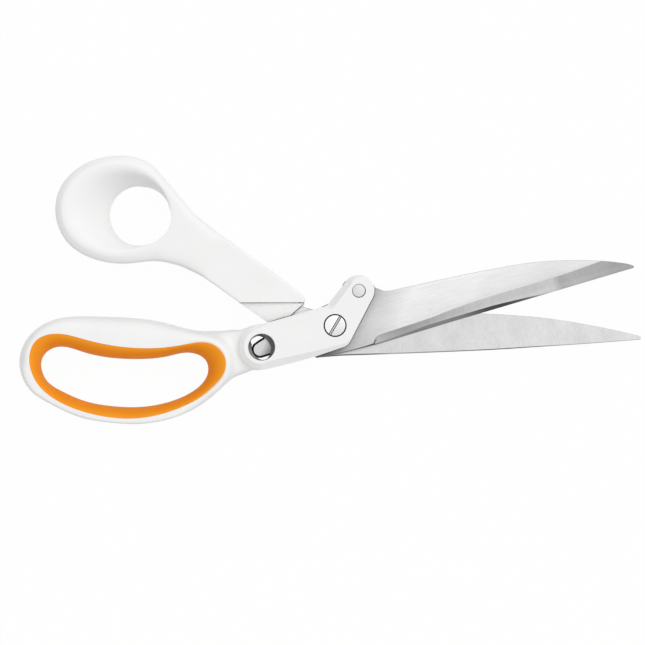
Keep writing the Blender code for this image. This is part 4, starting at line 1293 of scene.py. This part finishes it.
# Steep faces of the screw, its side and the slot's walls, take painted shade, and the slot floor a darker
# grey as painted shade of the recess.
show(screw, [screw_steel, oxide_and_shade_steel, slot_shade_steel], "screw", "pivot_screw", 25.0, (0.5,))
finish_between(screw.data, HEAD_TOP - 0.72, HEAD_TOP - 0.68, 2)

nut = turned(
    "pivot_nut_turned",
    eased([(0.0, 0.0), (4.9, 0.0), (5.6, 0.7), (5.6, NUT_TOP), (2.5, NUT_TOP), (2.5, 0.7), (0.0, 0.7)], 0.12),
)
for side in (1.0, -1.0):
    punch(nut, NUT_FLAT * side, -OVERRUN, NUT_TOP + OVERRUN)
show(nut, [screw_steel], "thumb", "pivot_nut", 25.0)

bush = washer("pivot_bush_turned", 2.5, 3.1, REAR_LOW, FRONT_TOP)
show(bush, [bronze], "front", "pivot_bush")
slide = washer("blade_washer_cut", 3.4, 7.0, REAR_TOP - 0.5, REAR_TOP)
show(slide, [slide_plastic], "thumb", "blade_washer")
plain = washer("nut_washer_turned", 2.5, 5.6, 3.9, 4.4)
show(plain, [screw_steel], "thumb", "nut_washer")
# The spring washer's black is partly oxide and partly painted shade at the bottom of the ring gap.
spring = turned("spring_washer_turned", eased([(2.5, 11.0), (4.25, 10.7), (4.25, 11.2), (2.5, 11.5)], 0.06))
show(spring, [oxide_and_shade_steel], "front", "spring_washer")

dome_share = np.linspace(1.0, 0.0, 14)
dome = np.column_stack([2.42 * dome_share, 15.2 + 0.14 * (1 - dome_share**2)])
rivet_profile = [(0.0, 7.8), (2.7, 7.8), (2.7, 8.7), (1.7, 8.7), (1.7, 13.8), (2.42, 13.8)]
rivet = turned("lever_rivet_headed", np.vstack([rivet_profile, dome]), RIVET)
show(rivet, [rivet_steel], "front", "lever_rivet")
# The bush's dark finish is painted shade in the gap round the rivet's head.
lever_bush = turned(
    "lever_bush_turned", eased([(2.0, 10.7), (2.7, 10.7), (2.7, 13.5), (2.0, 13.5)], 0.08), RIVET
)
show(lever_bush, [bush_shade_bronze], "finger", "lever_bush")

# %% [markdown]
# ## Window sleeve
# A steel eyelet lines the window. Its bore isn't round: the wall comes inwards by a different amount at
# each angle, most at the right and at the stop on the lower left, where the tang's end will rest. The
# wide dark wall at the upper right also stands for the shadow inside the window, and its dark steel is
# partly painted shade. So the wall is a table of angle and reach, read round the circle.

# %% Window sleeve
SLEEVE_RADIUS = 5.25
SLEEVE_LIP = 0.12
# Wall reach by angle; the wide part at the upper right also stands for the window's shadow.
SLEEVE_WALL_AND_SHADE = np.array(
    [
        (0, 1.5), (30, 1.9), (60, 1.7), (90, 1.2), (105, 0.7), (120, 0.5), (140, 0.25), (150, 0.2),
        (165, 1.1), (180, 1.25), (215, 1.0), (245, 0.8), (258, 0.4), (275, 0.1), (295, 0.12), (305, 0.5),
        (335, 1.1),
    ]
)  # fmt: skip

degrees = np.arange(144) * 2.5
wall = np.interp(degrees, *SLEEVE_WALL_AND_SHADE.T, period=360.0)
circle = np.column_stack([np.cos(np.radians(degrees)), np.sin(np.radians(degrees))])
sleeve_rows = [
    lifted(WINDOW + circle * radius[:, None], height)
    for radius, height in (
        (SLEEVE_RADIUS + 0 * wall, ARM_LOW),
        (SLEEVE_RADIUS + 0 * wall, ARM_TOP - 0.15),
        (SLEEVE_RADIUS - SLEEVE_LIP + 0 * wall, ARM_TOP - 0.1),
        (SLEEVE_RADIUS - SLEEVE_LIP - 0.15 * wall, ARM_TOP - 0.6),
        (SLEEVE_RADIUS - SLEEVE_LIP - 0.85 * wall, ARM_LOW + 1.2),
        (SLEEVE_RADIUS - SLEEVE_LIP - wall, ARM_LOW + 0.5),
        (SLEEVE_RADIUS - SLEEVE_LIP - wall, ARM_LOW),
    )
]
sleeve = loft("window_sleeve_formed", sleeve_rows, "join")
show(sleeve, [sleeve_steel_and_shade], "finger", "window_sleeve")

# %% [markdown]
# ## Shadow strips
# Thin dark strips under the arm stand for shade: only their edges show, as the fine dark lines of contact
# shadow along the arm's edge over the blade and along the stop pad's edge. Each is a flat bar along part of
# the arm's outline, with its outer side a little proud of the arm and both ends drawn in under it.

# %% Shadow strips
ARM_STRIP = 10.46
PAD_STRIP = 8.9
STRIP_THICKNESS = 0.22
STRIP_PROUD = 0.26
STRIP_DEEP = -1.6
RIGHT_PATH = np.vstack([arc((1.95, -4.05), 4.5, -66, -24), arc(RIVET, 6.15, -23.6, 22)])
UPPER_PATH = np.array([(-17.2, 3.75), (-25.8, 1.25)])
PAD_PATH = np.array([(-17.9, 3.45), (-12.2, 8.65)])
CORNER_PATH = np.array([(-2.7, 8.35), (-3.7, 7.6), (-5.2, 7.15)])
LOBE_PATH = np.array([(4.3, 17.3), (2.9, 15.5)])


def shadow_strip(name, path, low):
    """A bar of four corners along a path; its outer side stands off the path by a half-sine of 0.2 power."""
    run = np.concatenate([[0.0], np.cumsum(np.linalg.norm(np.diff(path, axis=0), axis=1))])
    step = np.linspace(0.0, run[-1], 90)
    line = np.column_stack([np.interp(step, run, column) for column in path.T])
    ahead = np.gradient(line, axis=0)
    off = np.column_stack([ahead[:, 1], -ahead[:, 0]]) / np.linalg.norm(ahead, axis=1)[:, None]
    proud = STRIP_PROUD * np.sin(np.pi * np.linspace(0.001, 0.999, len(step))) ** 0.2
    outer, deep = line + off * proud[:, None], line + off * STRIP_DEEP
    high = low + STRIP_THICKNESS
    rows = [lifted(outer, low), lifted(outer, high), lifted(deep, high), lifted(deep, low)]
    return loft(name, np.stack(rows, axis=1))


for name, path, low, body in (
    ("shadow_strip_right", RIGHT_PATH, ARM_STRIP, "finger"),
    ("shadow_strip_upper", UPPER_PATH, ARM_STRIP, "finger"),
    ("shadow_strip_corner", CORNER_PATH, ARM_STRIP, "finger"),
    ("shadow_strip_lobe", LOBE_PATH, ARM_STRIP, "finger"),
    ("shadow_strip_pad", PAD_PATH, PAD_STRIP, "thumb"),
):
    show(shadow_strip(name, path, low), [painted_shadow_line], body, None)
